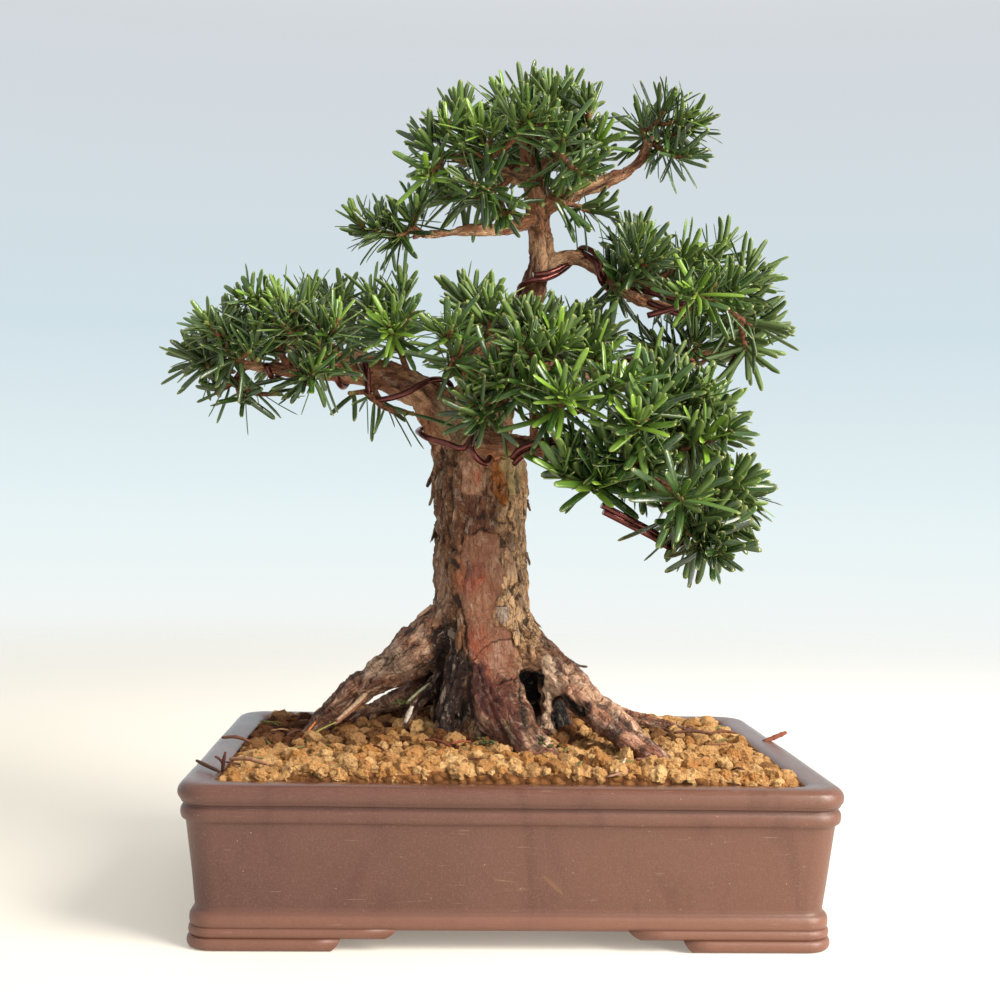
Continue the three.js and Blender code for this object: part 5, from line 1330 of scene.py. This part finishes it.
def build_wood(limbs):
    """Trunk, roots and branches, grown into one skin, with the relief and the colours of their bark."""
    parts = [carved_trunk(limbs["trunk"])]
    for name, limb in limbs.items():
        if name != "trunk":
            sides = 20 if name.startswith("root") else 14
            parts.append(tube(limb.path, limb.radii, sides, limb.normals, limb.binormals))
    mesh = worked(temporary(*joined(parts)),
                  ("REMESH", {"mode": "VOXEL", "voxel_size": WOOD_VOXEL, "use_smooth_shade": True}),
                  ("SMOOTH", {"factor": 0.5, "iterations": 5}))
    vertices = read_values(mesh.vertices, "co", 3).astype(float)
    facing = read_values(mesh.vertices, "normal", 3).astype(float)
    quads = read_values(mesh.loops, "vertex_index", 1, np.int32).reshape(-1, 4)
    names, which, grain, seam = nearest_grain(vertices, limbs)

    kinds = [TRUNK if name == "trunk" else ROOT if name.startswith("root") else BRANCH for name in names]
    kind = np.array(kinds)[which]
    at_trunk = (vertices[:, 2] > 100) & (np.abs(vertices[:, 0] + 8) < 22)
    kind = np.where((kind == ROOT) & at_trunk, TRUNK, kind)
    cracks, step = plate_relief(grain, (0.105, 0.105, 0.030))
    small_cracks, small_step = plate_relief(grain + 7.0, (0.27, 0.27, 0.085))
    fibres = fractal(grain, (0.55, 0.55, 0.05), 4, 1.0)
    crumbs = fractal(grain, (0.45, 0.45, 0.20), 4, 3.0)
    knobs = fractal(vertices, 0.075, 3, 5.0)
    calm = 1 - smoothstep(seam, 0.0, 2.5)
    height = 0.75 * step + 0.36 * small_step + 0.45 * fibres + 0.50 * crumbs
    height = (height - 1.6 * cracks - 0.55 * small_cracks) * (1 - 0.5 * calm)
    paint = bark_colours(vertices, grain, kind, step)
    paint, smooth, stand, cut = front_features(vertices, facing, paint)
    paint = paint * BARK_WARMTH
    rough = np.choose(kind, (1.0, 0.85, 0.70)) * (1 - 0.85 * smooth)
    bump = height * rough + knobs * np.choose(kind, (0.5, 1.5, 0.6)) * (1 - 0.7 * smooth)
    vertices = vertices + facing * (bump + stand)[:, None]
    # The level drops in cracks, in the front's cracks and near the seams where limbs meet, where the bark is
    # painted dark: painted shade, partly the darker inner bark.
    level = 0.62 + 0.10 * step - (0.56 * cracks + 0.38 * small_cracks + 0.14 * calm) * rough - 0.9 * cut
    level = np.clip(level, 0, 1)

    material = bark_material()
    high = vertices[quads[:, 0], 2] > BRANCHES_FROM
    for name, chosen in (("trunk_and_roots", quads[~high]), ("branches", quads[high])):
        used, faces = np.unique(chosen, return_inverse=True)
        part = make_mesh(name, vertices[used], [faces.reshape(-1, 4)])
        keep_values(part, grain=grain[used] * 0.001, height=level[used], rough=rough[used],
                    paint=paint[used], ring=kind[used] == ROOT)
        make_piece(name, part, material, "bark", "tree_wood")
    build_flakes(vertices, facing, paint, rough, kind, material)


def plate_relief(grain, scale):
    """How much a place lies in a crack between plates of bark, and how far its plate stands up or down."""
    cracks, steps = np.empty(len(grain)), np.empty(len(grain))
    bend = np.stack([fractal(grain, (0.10, 0.10, 0.05), 3, seed) for seed in (8.0, 9.0)], axis=1)
    places = grain * np.array(scale)
    places[:, :2] += bend * 0.35
    for i, place in enumerate(places):
        near, points = noise.voronoi(Vector(place))
        cracks[i] = near[1] - near[0]
        steps[i] = noise.noise(points[0] * 9.7)
    return 1 - smoothstep(cracks, 0.0, 0.14), steps * 1.6


def bark_colours(vertices, grain, kind, step):
    """The bark's colours: by plate, pinkish on the roots and pale on branches, with painted light on the
    trunk's right and painted shade on its left.
    """
    broad = fractal(grain, (0.05, 0.05, 0.02), 3, 10.0)
    small = fractal(grain, (0.36, 0.36, 0.10), 4, 11.0)
    patch = fractal(vertices, 0.055, 3, 12.0)
    paint = np.empty((len(vertices), 3))
    for index, (middle, dark, pale) in enumerate(BARK_TONES):
        chosen = kind == index
        mixed = np.tile(tint(*middle), (chosen.sum(), 1))
        down = smoothstep(0.7 * broad[chosen] + 0.2 * step[chosen] + 0.5 * small[chosen], 0.0, 0.5)[:, None]
        up = smoothstep(patch[chosen] + 0.2 * step[chosen] - 0.6 * small[chosen], 0.08, 0.55)[:, None]
        mixed = mixed + (tint(*dark) - mixed) * down
        paint[chosen] = mixed + (tint(*pale) - mixed) * up
    # Painted light on the trunk's right and painted shade on its left.
    east = smoothstep(vertices[:, 0], -7, 0) * (kind == TRUNK) * smoothstep(vertices[:, 2], 92, 112)
    shaded_west = smoothstep(-vertices[:, 0], 20, 28) * (kind == TRUNK) * smoothstep(vertices[:, 2], 100, 130)
    for colour, share in ((BARK_LIT_EAST, 0.90 * east), (BARK_SHADED_WEST, 0.6 * shaded_west)):
        paint = paint + (np.array(tint(*colour)) - paint) * share[:, None]
    return paint


def outside(places, outline):
    """Distance outside an outline: a polygon, or an ellipse given as its middle and its two radii."""
    if isinstance(outline, tuple):
        x, z, rx, rz = outline
        return (np.hypot((places[:, 0] - x) / rx, (places[:, 1] - z) / rz) - 1) * min(rx, rz)
    corners = np.array(outline, float)
    inside = np.zeros(len(places), bool)
    for (x0, z0), (x1, z1) in zip(corners, np.roll(corners, -1, axis=0)):
        if z0 != z1:
            crossing = (places[:, 1] < z0) != (places[:, 1] < z1)
            inside ^= crossing & (places[:, 0] < x0 + (places[:, 1] - z0) * (x1 - x0) / (z1 - z0))
    distance = away_from(places, [*outline, outline[0]])
    return np.where(inside, -distance, distance)


def away_from(places, line):
    """Distance from a line through the points."""
    points = np.array(line, float)
    nearest = np.full(len(places), 1e9)
    for a, b in zip(points[:-1], points[1:]):
        span = b - a
        t = np.clip(((places - a) @ span) / max(span @ span, 1e-9), 0, 1)
        nearest = np.minimum(nearest, np.linalg.norm(places - a - t[:, None] * span, axis=1))
    return nearest


def flake_arrays(place, out, down, wide, long, lift, thick, generator):
    """A ragged scrap of bark that is held at its top and curls away from the wood at its bottom."""
    aside = unit(np.cross(out, down))
    t, s = np.meshgrid(np.linspace(0, 1, 6), np.linspace(-1, 1, 5), indexing="ij")
    half = wide / 2 * (1 - 0.25 * t ** 2) * generator.uniform(0.65, 1.2, (6, 1))
    curl = lift * t ** 1.7 + 0.16 * wide * (1 - s ** 2) - 0.35
    run = t * long + t * generator.normal(0, 0.10 * long, (1, 5))
    lean = (s + generator.uniform(-0.25, 0.25, (6, 1))) * half
    middle = place + down * run[..., None] + aside * lean[..., None] + out * curl[..., None]
    rim = np.where((np.abs(s) > 0.9) | (t > 0.95), 0.35, 1.0)
    sheets = [middle + out * (thick / 2 * rim)[..., None], middle - out * (thick / 2 * rim)[..., None]]
    vertices = np.concatenate([sheet.reshape(-1, 3) for sheet in sheets])
    i, j = np.meshgrid(np.arange(5), np.arange(4), indexing="ij")
    a = (i * 5 + j).ravel()
    quads = np.stack((a, a + 5, a + 6, a + 1), axis=1)
    border = np.array([0, 1, 2, 3, 4, 9, 14, 19, 24, 29, 28, 27, 26, 25, 20, 15, 10, 5])
    following = np.roll(border, -1)
    edge = np.stack((border, following, following + 30, border + 30), axis=1)
    return vertices, [np.concatenate((quads, (quads + 30)[:, ::-1], edge))]


def build_flakes(vertices, facing, paint, rough, kind, material):
    """Loose scraps of bark on the trunk and the roots."""
    generator = np.random.default_rng(FLAKE_SEED)
    likely = np.flatnonzero((kind < 2) & (rough > 0.45) & (vertices[:, 2] > 78) & (vertices[:, 2] < 178)
                            & (np.hypot(vertices[:, 0] + 8, vertices[:, 1] + 2) < 27))
    chosen = [(i, generator.uniform(2.2, 5.0), generator.uniform(3, 8.5), generator.uniform(0.1, 0.9), None)
              for i in generator.choice(likely, FLAKE_COUNT, replace=False)]
    for x, z, wide, long, lift, colour in FLAKES:
        cost = np.hypot(vertices[:, 0] - x, vertices[:, 2] - z) + (facing[:, 1] > 0.25) * 50
        chosen.append((int(cost.argmin()), wide, long, lift, colour))
    parts, paints = [], []
    for i, wide, long, lift, colour in chosen:
        out = facing[i]
        down = np.array((generator.normal(0, 0.16), generator.normal(0, 0.16), -1.0))
        down = unit(down - out * np.dot(down, out))
        parts.append(flake_arrays(vertices[i], out, down, wide, long, lift, 0.5, generator))
        own = paint[i] * generator.uniform(0.8, 1.2) if colour is None else np.array(tint(*colour))
        paints.append(np.tile(own, (len(parts[-1][0]), 1)))
    flakes, faces = joined(parts)
    mesh = make_mesh("bark_flakes", flakes, faces)
    count = len(flakes)
    keep_values(mesh, grain=flakes * 0.001, height=np.full(count, 0.8), rough=np.full(count, 0.75),
                ring=np.zeros(count), paint=np.concatenate(paints))
    make_piece("bark_flakes", mesh, material, "bark", "tree_wood")


# The wires

def coil(limb, start, end, turns, phase):
    """Points of a coil of wire wound round part of a limb."""
    count = int(abs(turns) * 20)
    points = []
    for i in range(count + 1):
        u = start + (end - start) * i / count
        angle = phase + 2 * math.pi * turns * i / count
        radius = float(limb.at(u, limb.radii)) * 1.04 + WIRE_RADIUS + 0.35
        points.append(limb.at(u) + radius * (limb.at(u, limb.normals) * math.cos(angle)
                                             + limb.at(u, limb.binormals) * math.sin(angle)))
    return points


def build_wires(limbs):
    """The training wires, with bright cut ends."""
    low_cut = [(62, -48, 160), (66, -46, 150), (60, -50, 146), (50.5, -57, 150.3), (31.8, -61, 159.2)]
    upper = [(3.3, 6, 247.8), (3.8, 1, 250), (7.4, -1.5, 251.8), (14.9, 0, 253.5), (20.2, 3, 256.6),
             (25.2, 8, 261.4), (27.9, 6, 264.9), (31.5, 0, 263.1), (34.9, -4, 258.8), (36.7, -4, 252.2),
             (42, 1, 248.9), (47, 7, 250.8), (50, -2, 247.4), (56.5, -9, 242.9), (65.4, -11, 239.1),
             (72.4, -9, 237.1)]
    beside = [(x + 1.2, y - 0.4, z + 2.3) for x, y, z in upper[2:12]]
    routes = {
        "wire_left": [*coil(limbs["left"], 0.86, 0.52, -3, 0.4), (-57, -15, 200.6), (-49.5, -18.5, 200.4),
                      (-42, -18, 203.2), (-33, -14, 208.6), (-25, -2, 208), (-25, 9, 200), (-33, 9, 192),
                      (-37.5, -4, 188.5), (-37, -15, 187), (-33.5, -21.5, 184.6),
                      (-26.8, -24, 182.8), (-19.5, -26, 180.8), (-15.4, -26, 186),
                      (-16.6, -30, 180.3), (-12.9, -29, 175.7), (-10.1, -27, 175), (-8.8, -24, 177.5)],
        "wire_front_a": [(-0.3, -30, 177.1), (2.6, -33, 180.6), (9.8, -35, 183.4), (18.6, -35, 184),
                         *coil(limbs["front"], 0.66, 0.9, 1, 1.6), *low_cut],
        "wire_front_b": [(0.7, -29, 174.8), (4.0, -32.5, 178.3), (10.4, -35, 181), (18.4, -36.5, 181.4),
                         *coil(limbs["front"], 0.69, 0.92, 1, 1.6),
                         *((x + 0.7, y, z - 2.4) for x, y, z in low_cut)],
        "wire_upper_a": upper,
        "wire_upper_b": [*beside, (47, 3, 252), (54, -8, 248), (66, -14, 244), (72.2, -14, 242.6),
                         (70, -16, 241.5), (54.6, -15, 236.8)],
        "wire_back": [*coil(limbs["back_right"], 0.5, 0.9, 2, 1), (109.6, 30, 240.7), (106, 28, 235),
                      (97.2, 25, 220.9)],
    }
    materials = [wire_material(), bare_metal_material()]
    for name, points in routes.items():
        path = smooth_path(points, 1.4)
        _, normals, binormals = path_frames(path)
        radii = np.full(len(path), WIRE_RADIUS)
        mesh = make_mesh(name + "_strand", *tube(path, radii, WIRE_SIDES, normals, binormals))
        make_piece(name + "_strand", mesh, materials, "wire_metal", name)
        on_ends = np.arange(len(mesh.polygons)) >= len(mesh.polygons) - 2 * WIRE_SIDES
        mesh.polygons.foreach_set("material_index", on_ends.astype(np.int32))


# The foliage

# Along a needle: how far, how wide and how thick it is there.
NEEDLE_STATIONS = np.array([(0.0, 0.32, 0.6), (0.13, 0.84, 0.95), (0.45, 1.0, 1.0), (0.82, 0.97, 1.0),
                            (0.945, 0.76, 0.85), (1.0, 0.32, 0.4)])
# How long and wide the needles of each pad are, and how pale they are with painted sheen, a grey-green
# painted reflection of the sky.
NEEDLE_SIZES = {"left": (16.8, 2.45, 0.50), "centre": (18.6, 2.80, 0.20), "low_right": (20.4, 3.35, 0.15),
                "upper_right": (18.8, 2.70, 0.10), "crown": (17.8, 2.55, 0.08)}
# Across a needle: sideways and up, both from the middle, and whether it is the underside.
NEEDLE_SECTION = np.array([(-1.0, 0.0, 0.5), (-0.5, 0.30, 0.0), (0.0, 0.42, 0.0), (0.5, 0.30, 0.0),
                           (1.0, 0.0, 0.5), (0.0, -0.34, 1.0)])


def needle_arrays(roots, directions, tops, lengths, widths, curls, sways):
    """Vertices, faces and leaf values of many needles at once."""
    t, wide, thick = NEEDLE_STATIONS.T
    across, up, below = NEEDLE_SECTION.T
    sides = np.cross(directions, tops)
    n = len(roots)
    bent = (directions[:, None, :] * (lengths[:, None] * t)[:, :, None]
            + tops[:, None, :] * (lengths[:, None] * curls[:, None] * t ** 2)[:, :, None]
            + sides[:, None, :] * (lengths[:, None] * sways[:, None] * t ** 2)[:, :, None])
    spine = roots[:, None, :] + bent
    half = (widths / 2)[:, None, None] * wide[None, :, None] * across[None, None, :]
    lift = 0.62 * thick[None, :, None] * up[None, None, :] * np.ones((n, 1, 1))
    vertices = (spine[:, :, None, :] + sides[:, None, None, :] * half[..., None]
                + tops[:, None, None, :] * lift[..., None])
    rings, points = len(t), len(across)
    i, j = np.meshgrid(np.arange(rings - 1), np.arange(points), indexing="ij")
    a = i * points + j
    b = i * points + (j + 1) % points
    quads = np.stack((a, a + points, b + points, b), axis=-1).reshape(-1, 4)
    last = (rings - 1) * points
    tip = last + np.arange(points)[None, :]
    size = rings * points
    starts = (np.arange(n) * size)[:, None, None]
    leaf = np.stack(np.broadcast_arrays(np.abs(across)[None, :], t[:, None], below[None, :]), axis=-1)
    leaf = np.tile(leaf.reshape(1, size, 3), (n, 1, 1)).reshape(-1, 3)
    faces = [(quads[None] + starts).reshape(-1, 4), (tip[None, :, ::-1] + starts).reshape(-1, 6)]
    return vertices.reshape(-1, 3), faces, leaf, size


def find_bud(tip, bearers, limbs, used):
    """The place on a branch from which a shoot grows to its tip: near it, behind it, and not used yet."""
    best = None
    for name in bearers:
        limb = limbs[name]
        for i in range(8, 41):
            point, tangent = limb.at(i / 40), limb.at(i / 40, limb.tangents)
            shoot = tip - point
            size = np.linalg.norm(shoot)
            lean = math.acos(max(-1.0, min(1.0, float(np.dot(shoot, tangent)) / max(size, 1e-6))))
            crowd = sum(max(0.0, 7 - np.linalg.norm(other - point)) for other in used)
            cost = size + 14 * max(0.0, lean - 0.9) + 3 * crowd
            if best is None or cost < best[0]:
                best = (cost, point)
    used.append(best[1])
    return best[1]


def twig_between(start, end, thick):
    """A twig from one point to another that sags a little and then turns up, or to the light in front."""
    span = end - start
    size = np.linalg.norm(span)
    side = unit(np.cross(span, UP))
    rise = unit(np.cross(side, span))
    middle = start + span * 0.5 - rise * size * 0.1
    points = [(*start, thick), (*middle, thick * 0.85)]
    if end[1] < -18 and size > 12:
        ahead = unit(unit(span) * 0.75 + np.array((0.0, -0.75, 0.1)))
        points.append((*(end - ahead * 6), thick * 0.7))
    return Limb([*points, (*end, thick * 0.62)], 1.0)


def in_front_plane(places):
    """Where places show from the front: x and z, drawn to the plane y = 0 as from the camera's place."""
    viewpoint = CAMERA_PLACE - (POT_X, 0, 0)
    toward = places - viewpoint
    reach = -viewpoint[1] / toward[:, 1]
    return (viewpoint + toward * reach[:, None])[:, (0, 2)]


def dress_twig(twig, leafy, rng, sizes, vigour, spacing, young):
    """Needles set in a spiral along the leafy end of a twig: arrays of their roots, directions, tops,
    lengths, widths, curls, sways, tones and painted sheens."""
    long, wide, pale = sizes
    angle = rng.uniform(0, 6.28)
    back = 0.0
    age = rng.uniform(0.05, 0.55)
    open_to = rng.uniform(54, 72) + (10 if twig.path[-1][1] < -30 else 0)
    narrow = rng.uniform(0.82, 1.0)
    needles = []
    while back < leafy:
        u = max(0.0, 1 - back / twig.length)
        share = back / leafy
        fresh = (0.45 * (1 - share) + 0.12) if young else 0.0
        tangent, normal, binormal = (twig.at(u, v) for v in (twig.tangents, twig.normals, twig.binormals))
        spread = math.radians(12 + open_to * min(1.0, back / 10.0) ** 0.8 + rng.gauss(0, 7))
        out = normal * math.cos(angle) + binormal * math.sin(angle)
        direction = unit(tangent * math.cos(spread) + out * math.sin(spread) + UP * 0.16)
        top = tangent * 0.9 + UP * 0.45 + np.array((rng.gauss(0, 0.15), rng.gauss(0, 0.15), 0.0))
        needles.append((
            twig.at(u) + out * TWIG_RADIUS * 0.35,
            direction,
            unit(top - direction * np.dot(top, direction)),
            long * vigour * rng.uniform(0.74, 1.14) * (0.5 + 0.5 * min(1.0, back / 4.5)),
            wide * narrow * rng.uniform(0.86, 1.12) * (0.78 + 0.22 * min(1.0, back / 4.0)),
            rng.uniform(-0.26, 0.10),
            rng.gauss(0, 0.09),
            clamp(age + fresh + rng.gauss(0, 0.14) - 0.12 * share),
            # Painted sheen: how much grey-green painted reflection of the sky a needle gets; none on young
            # shoots.
            clamp(rng.gauss(pale, 0.30) * (0 if young else 1))))
        angle += GOLDEN_ANGLE + rng.uniform(-0.25, 0.25)
        back += spacing * rng.uniform(0.70, 1.05) * (0.58 + 0.62 * share)
    grown = [np.array(values) for values in zip(*needles)]
    roots, directions, _, lengths = grown[:4]
    middles, ends = (in_front_plane(roots + directions * (lengths * share)[:, None]) for share in (0.6, 1.0))
    clear = np.ones(len(roots), bool)
    for outlines, depth in ((BARE_PLACES, BARE_PLACES_DEPTH), (BARE_TWIGS, BARE_TWIGS_DEPTH)):
        for outline in outlines:
            free = (outside(middles, outline) > 0) & (outside(ends, outline) > -1)
            clear &= free | (roots[:, 1] > depth)
    return [values[clear] for values in grown]


def side_twigs(stem, count, rng, tips):
    """Short shoots along a twig, where they stay among the tips of their pad."""
    found = []
    for _ in range(count * 6):
        u = rng.uniform(0.30, 0.92)
        out = unit(np.array([rng.gauss(0, 1), rng.gauss(0, 1), rng.uniform(-0.4, 1.3)]))
        start = stem.at(u)
        end = start + out * rng.uniform(6, 11) + stem.at(u, stem.tangents) * rng.uniform(4, 8)
        reach = np.linalg.norm(tips - end, axis=1).min()
        apart = min((np.linalg.norm(other.path[-1] - end) for other in found), default=99)
        if reach < 12 and apart > 6:
            found.append(twig_between(start, end, TWIG_RADIUS * 0.66))
        if len(found) == count:
            break
    return found


def bud_arrays(twig):
    """A small pointed bud at the tip of a twig."""
    frames = (twig.path, twig.tangents, twig.normals, twig.binormals)
    place, tangent, normal, binormal = (values[-1] for values in frames)
    stations = np.array(((-0.6, 0.5), (0.0, 1.0), (0.9, 0.85), (1.9, 0.15))) * BUD_RADIUS
    path = place + tangent * stations[:, :1]
    return tube(path, stations[:, 1], TWIG_SIDES, np.tile(normal, (4, 1)), np.tile(binormal, (4, 1)))


def twig_wood(twigs, rng):
    """Vertices and faces of a spray's twigs and buds, and how green each vertex is."""
    parts, ages = [], []
    for twig, _, _ in twigs:
        path, radii, normals, binormals = (
            np.concatenate((values[:-1:3], values[-1:]))
            for values in (twig.path, twig.radii, twig.normals, twig.binormals))
        age = smoothstep(np.linspace(0, 1, len(path)), 0.75, 1.0)
        bud = bud_arrays(twig)
        parts += [tube(path, radii, TWIG_SIDES, normals, binormals), bud]
        ages += [np.concatenate((np.repeat(age, TWIG_SIDES), age[:1], age[-1:])),
                 np.full(len(bud[0]), rng.choice((0.25, 0.8, 1.0)))]
    return *joined(parts), np.concatenate(ages)


def spray_twigs(tips, bud, rng, pad_tips, sparse):
    """The twigs of a spray, each with the length of its leafy end and its vigour."""
    stem = twig_between(bud, tips[0], TWIG_RADIUS)
    twigs = [(stem, min(stem.length * 0.85, 26.0), 1.0)]
    for k, tip in enumerate(tips[1:]):
        side = twig_between(stem.at(min(0.4 + 0.18 * k, 0.75)), tip, TWIG_RADIUS * 0.9)
        twigs.append((side, min(side.length * 0.9, 24.0), 1.0))
    if not sparse:
        for main_twig, _, _ in list(twigs):
            for side in side_twigs(main_twig, 2 if main_twig.length > 18 else 1, rng, pad_tips):
                twigs.append((side, side.length, rng.uniform(0.72, 0.95)))
    return twigs


def build_spray(name, twigs, rng, sizes, spacing, materials):
    """One spray: its needles, its twigs and their buds."""
    needles = []
    for twig, leafy, vigour in twigs:
        young = rng.random() < (0.6 if twig.tangents[-1][2] > 0.3 else 0.25)
        needles.append(dress_twig(twig, leafy, rng, sizes, vigour, spacing, young))
    *shape, tones, blooms = (np.concatenate(values) for values in zip(*needles))
    vertices, faces, leaf, size = needle_arrays(*shape)
    wood, wood_faces, ages = twig_wood(twigs, rng)
    mesh = make_mesh(name + "_leaves", *joined([(vertices, faces), (wood, wood_faces)]))
    keep_values(mesh, leaf=np.concatenate((leaf, np.zeros((len(wood), 3)))),
                tone=np.concatenate((np.repeat(tones, size), ages)),
                bloom=np.concatenate((np.repeat(blooms, size), np.zeros(len(wood)))))
    on_wood = np.arange(len(mesh.polygons)) >= sum(len(face) for face in faces)
    mesh.polygons.foreach_set("material_index", on_wood.astype(np.int32))
    make_piece(name + "_leaves", mesh, materials, "foliage", name)


def build_foliage(limbs):
    """All the sprays, pad by pad."""
    rng = random.Random(NEEDLE_SEED)
    materials = [needle_material(), twig_material()]
    used = []
    for pad, sprays in PADS.items():
        pad_tips = np.array([tip for tips in sprays for tip in tips], float)
        for index, tips in enumerate(sprays):
            tips = np.array(tips, float)
            sparse = (pad, index) in SPARSE_SPRAYS
            bud = find_bud(tips[0], BEARERS[pad], limbs, used)
            twigs = spray_twigs(tips, bud, rng, pad_tips, sparse)
            spacing = SPARSE_SPACING if sparse else NEEDLE_SPACING
            build_spray(f"spray_{pad}_{index + 1}", twigs, rng, NEEDLE_SIZES[pad], spacing, materials)


# Room, light and camera

def build_stage():
    """A pale floor that fades out, with painted light where it glows a little to lighten the shadows on it,
    and painted shadow at the left, where it is darker and warmer.
    """
    # Painted light: the floor glows a little, which lightens the shadows on it.
    floor = Graph("stage_floor", Roughness=0.9, Specular_IOR_Level=0.1, Emission_Strength=0.24)
    east, north, _ = floor.split(floor.place())
    squares = (floor.math("POWER", value, 2.0) for value in (east, north))
    away = floor.math("SQRT", floor.total(*squares))
    # Painted shadow: the floor's left is painted darker and warmer, as if shaded from the lamps at the
    # right.
    side = floor.spread(east, -0.35, 0.20)
    near_painted_glow = floor.mix(side, (0.95, 0.86, 0.71), (1.0, 0.92, 0.80))
    painted_glow = floor.mix(floor.spread(away, 0.25, 0.9), near_painted_glow, (0.60, 0.66, 0.66))
    floor.feed(floor.shader.inputs["Alpha"], floor.spread(away, 0.5, 1.6, 1.0, 0.0))
    floor.feed(floor.shader.inputs["Emission Color"], painted_glow)
    floor.finish(floor.mix(side, (0.66, 0.620, 0.545), (0.68, 0.66, 0.62)))
    angles = np.linspace(0, 2 * math.pi, 96, endpoint=False)
    circle = np.column_stack((np.cos(angles), np.sin(angles)))
    rings = [at_height(radius * circle, 0.0) for radius in (1.7, 1.0, 0.5, 0.2)]
    mesh = make_mesh("floor", *lofted(rings, cap=True), metres=False)
    mesh.flip_normals()
    mesh.materials.append(floor.material)
    obj = make_object("floor", mesh)


def build_world():
    """A backdrop that goes from near white through pale blue to grey, and is dimmer overhead."""
    world = bpy.data.worlds.new("studio")
    bpy.context.scene.world = world
    world.use_nodes = True
    nodes = Nodes(world.node_tree)
    height = nodes.split(nodes.add("TexCoord").outputs["Generated"])["Z"]
    bottom, top = SKY[0][0], SKY[-1][0]
    ramp = nodes.add("ValToRGB", {0: nodes.spread(height, bottom, top, kind="LINEAR")})
    while len(ramp.color_ramp.elements) < len(SKY):
        ramp.color_ramp.elements.new(0.5)
    for element, (level, colour) in zip(ramp.color_ramp.elements, SKY):
        element.position = (level - bottom) / (top - bottom)
        element.color = (*tint(*colour), 1)
    background = world.node_tree.nodes["Background"]
    nodes.feed(background.inputs["Color"], ramp.outputs[0])
    nodes.feed(background.inputs["Strength"], nodes.spread(height, 0.35, 0.85, 1.0, 0.85, "LINEAR"))


def add_light(name, place, target, size, power):
    """A round lamp at a place, turned to its target."""
    light = bpy.data.lights.new(name, "AREA")
    light.shape = "DISK"
    light.size = size
    light.energy = power
    light.color = LAMP_COLOUR
    obj = make_object(name, light)
    obj.location = place
    obj.rotation_euler = (Vector(target) - Vector(place)).to_track_quat("-Z", "Y").to_euler()


def turned(first, second, angle):
    """Two directions at right angles, turned from the first towards the second."""
    return (first * math.cos(angle) + second * math.sin(angle),
            second * math.cos(angle) - first * math.sin(angle))


def build_camera():
    """The camera as it stood for the photograph."""
    yaw, pitch, roll = (math.radians(angle) for angle in CAMERA_TURN)
    right = Vector((math.cos(yaw), -math.sin(yaw), 0))
    ahead, up = turned(Vector((math.sin(yaw), math.cos(yaw), 0)), Vector((0, 0, 1)), pitch)
    right, up = turned(right, up, roll)
    data = bpy.data.cameras.new("camera")
    data.sensor_width = SENSOR_WIDTH
    data.lens = SENSOR_WIDTH * CAMERA_FOCUS
    data.clip_start, data.clip_end = 0.01, 20
    camera = make_object("camera", data)
    turn = Matrix((right, up, -ahead)).transposed().to_4x4()
    camera.matrix_world = Matrix.Translation(tuple(CAMERA_PLACE * 0.001)) @ turn
    bpy.context.scene.camera = camera


def main():
    """The tree in its pot, and the room, light and camera round it."""
    limbs = {name: Limb(points) for name, points in LIMBS.items()}
    build_camera()
    build_pot()
    build_granules(limbs)
    build_litter()
    build_wood(limbs)
    build_wires(limbs)
    build_foliage(limbs)
    dress_nodes(screen_material(), "drain_screen_1", "drain_screen_2")
    build_stage()
    build_world()
    for lamp in LAMPS:
        add_light(*lamp)
    bpy.context.scene.view_settings.view_transform = "Standard"


main()
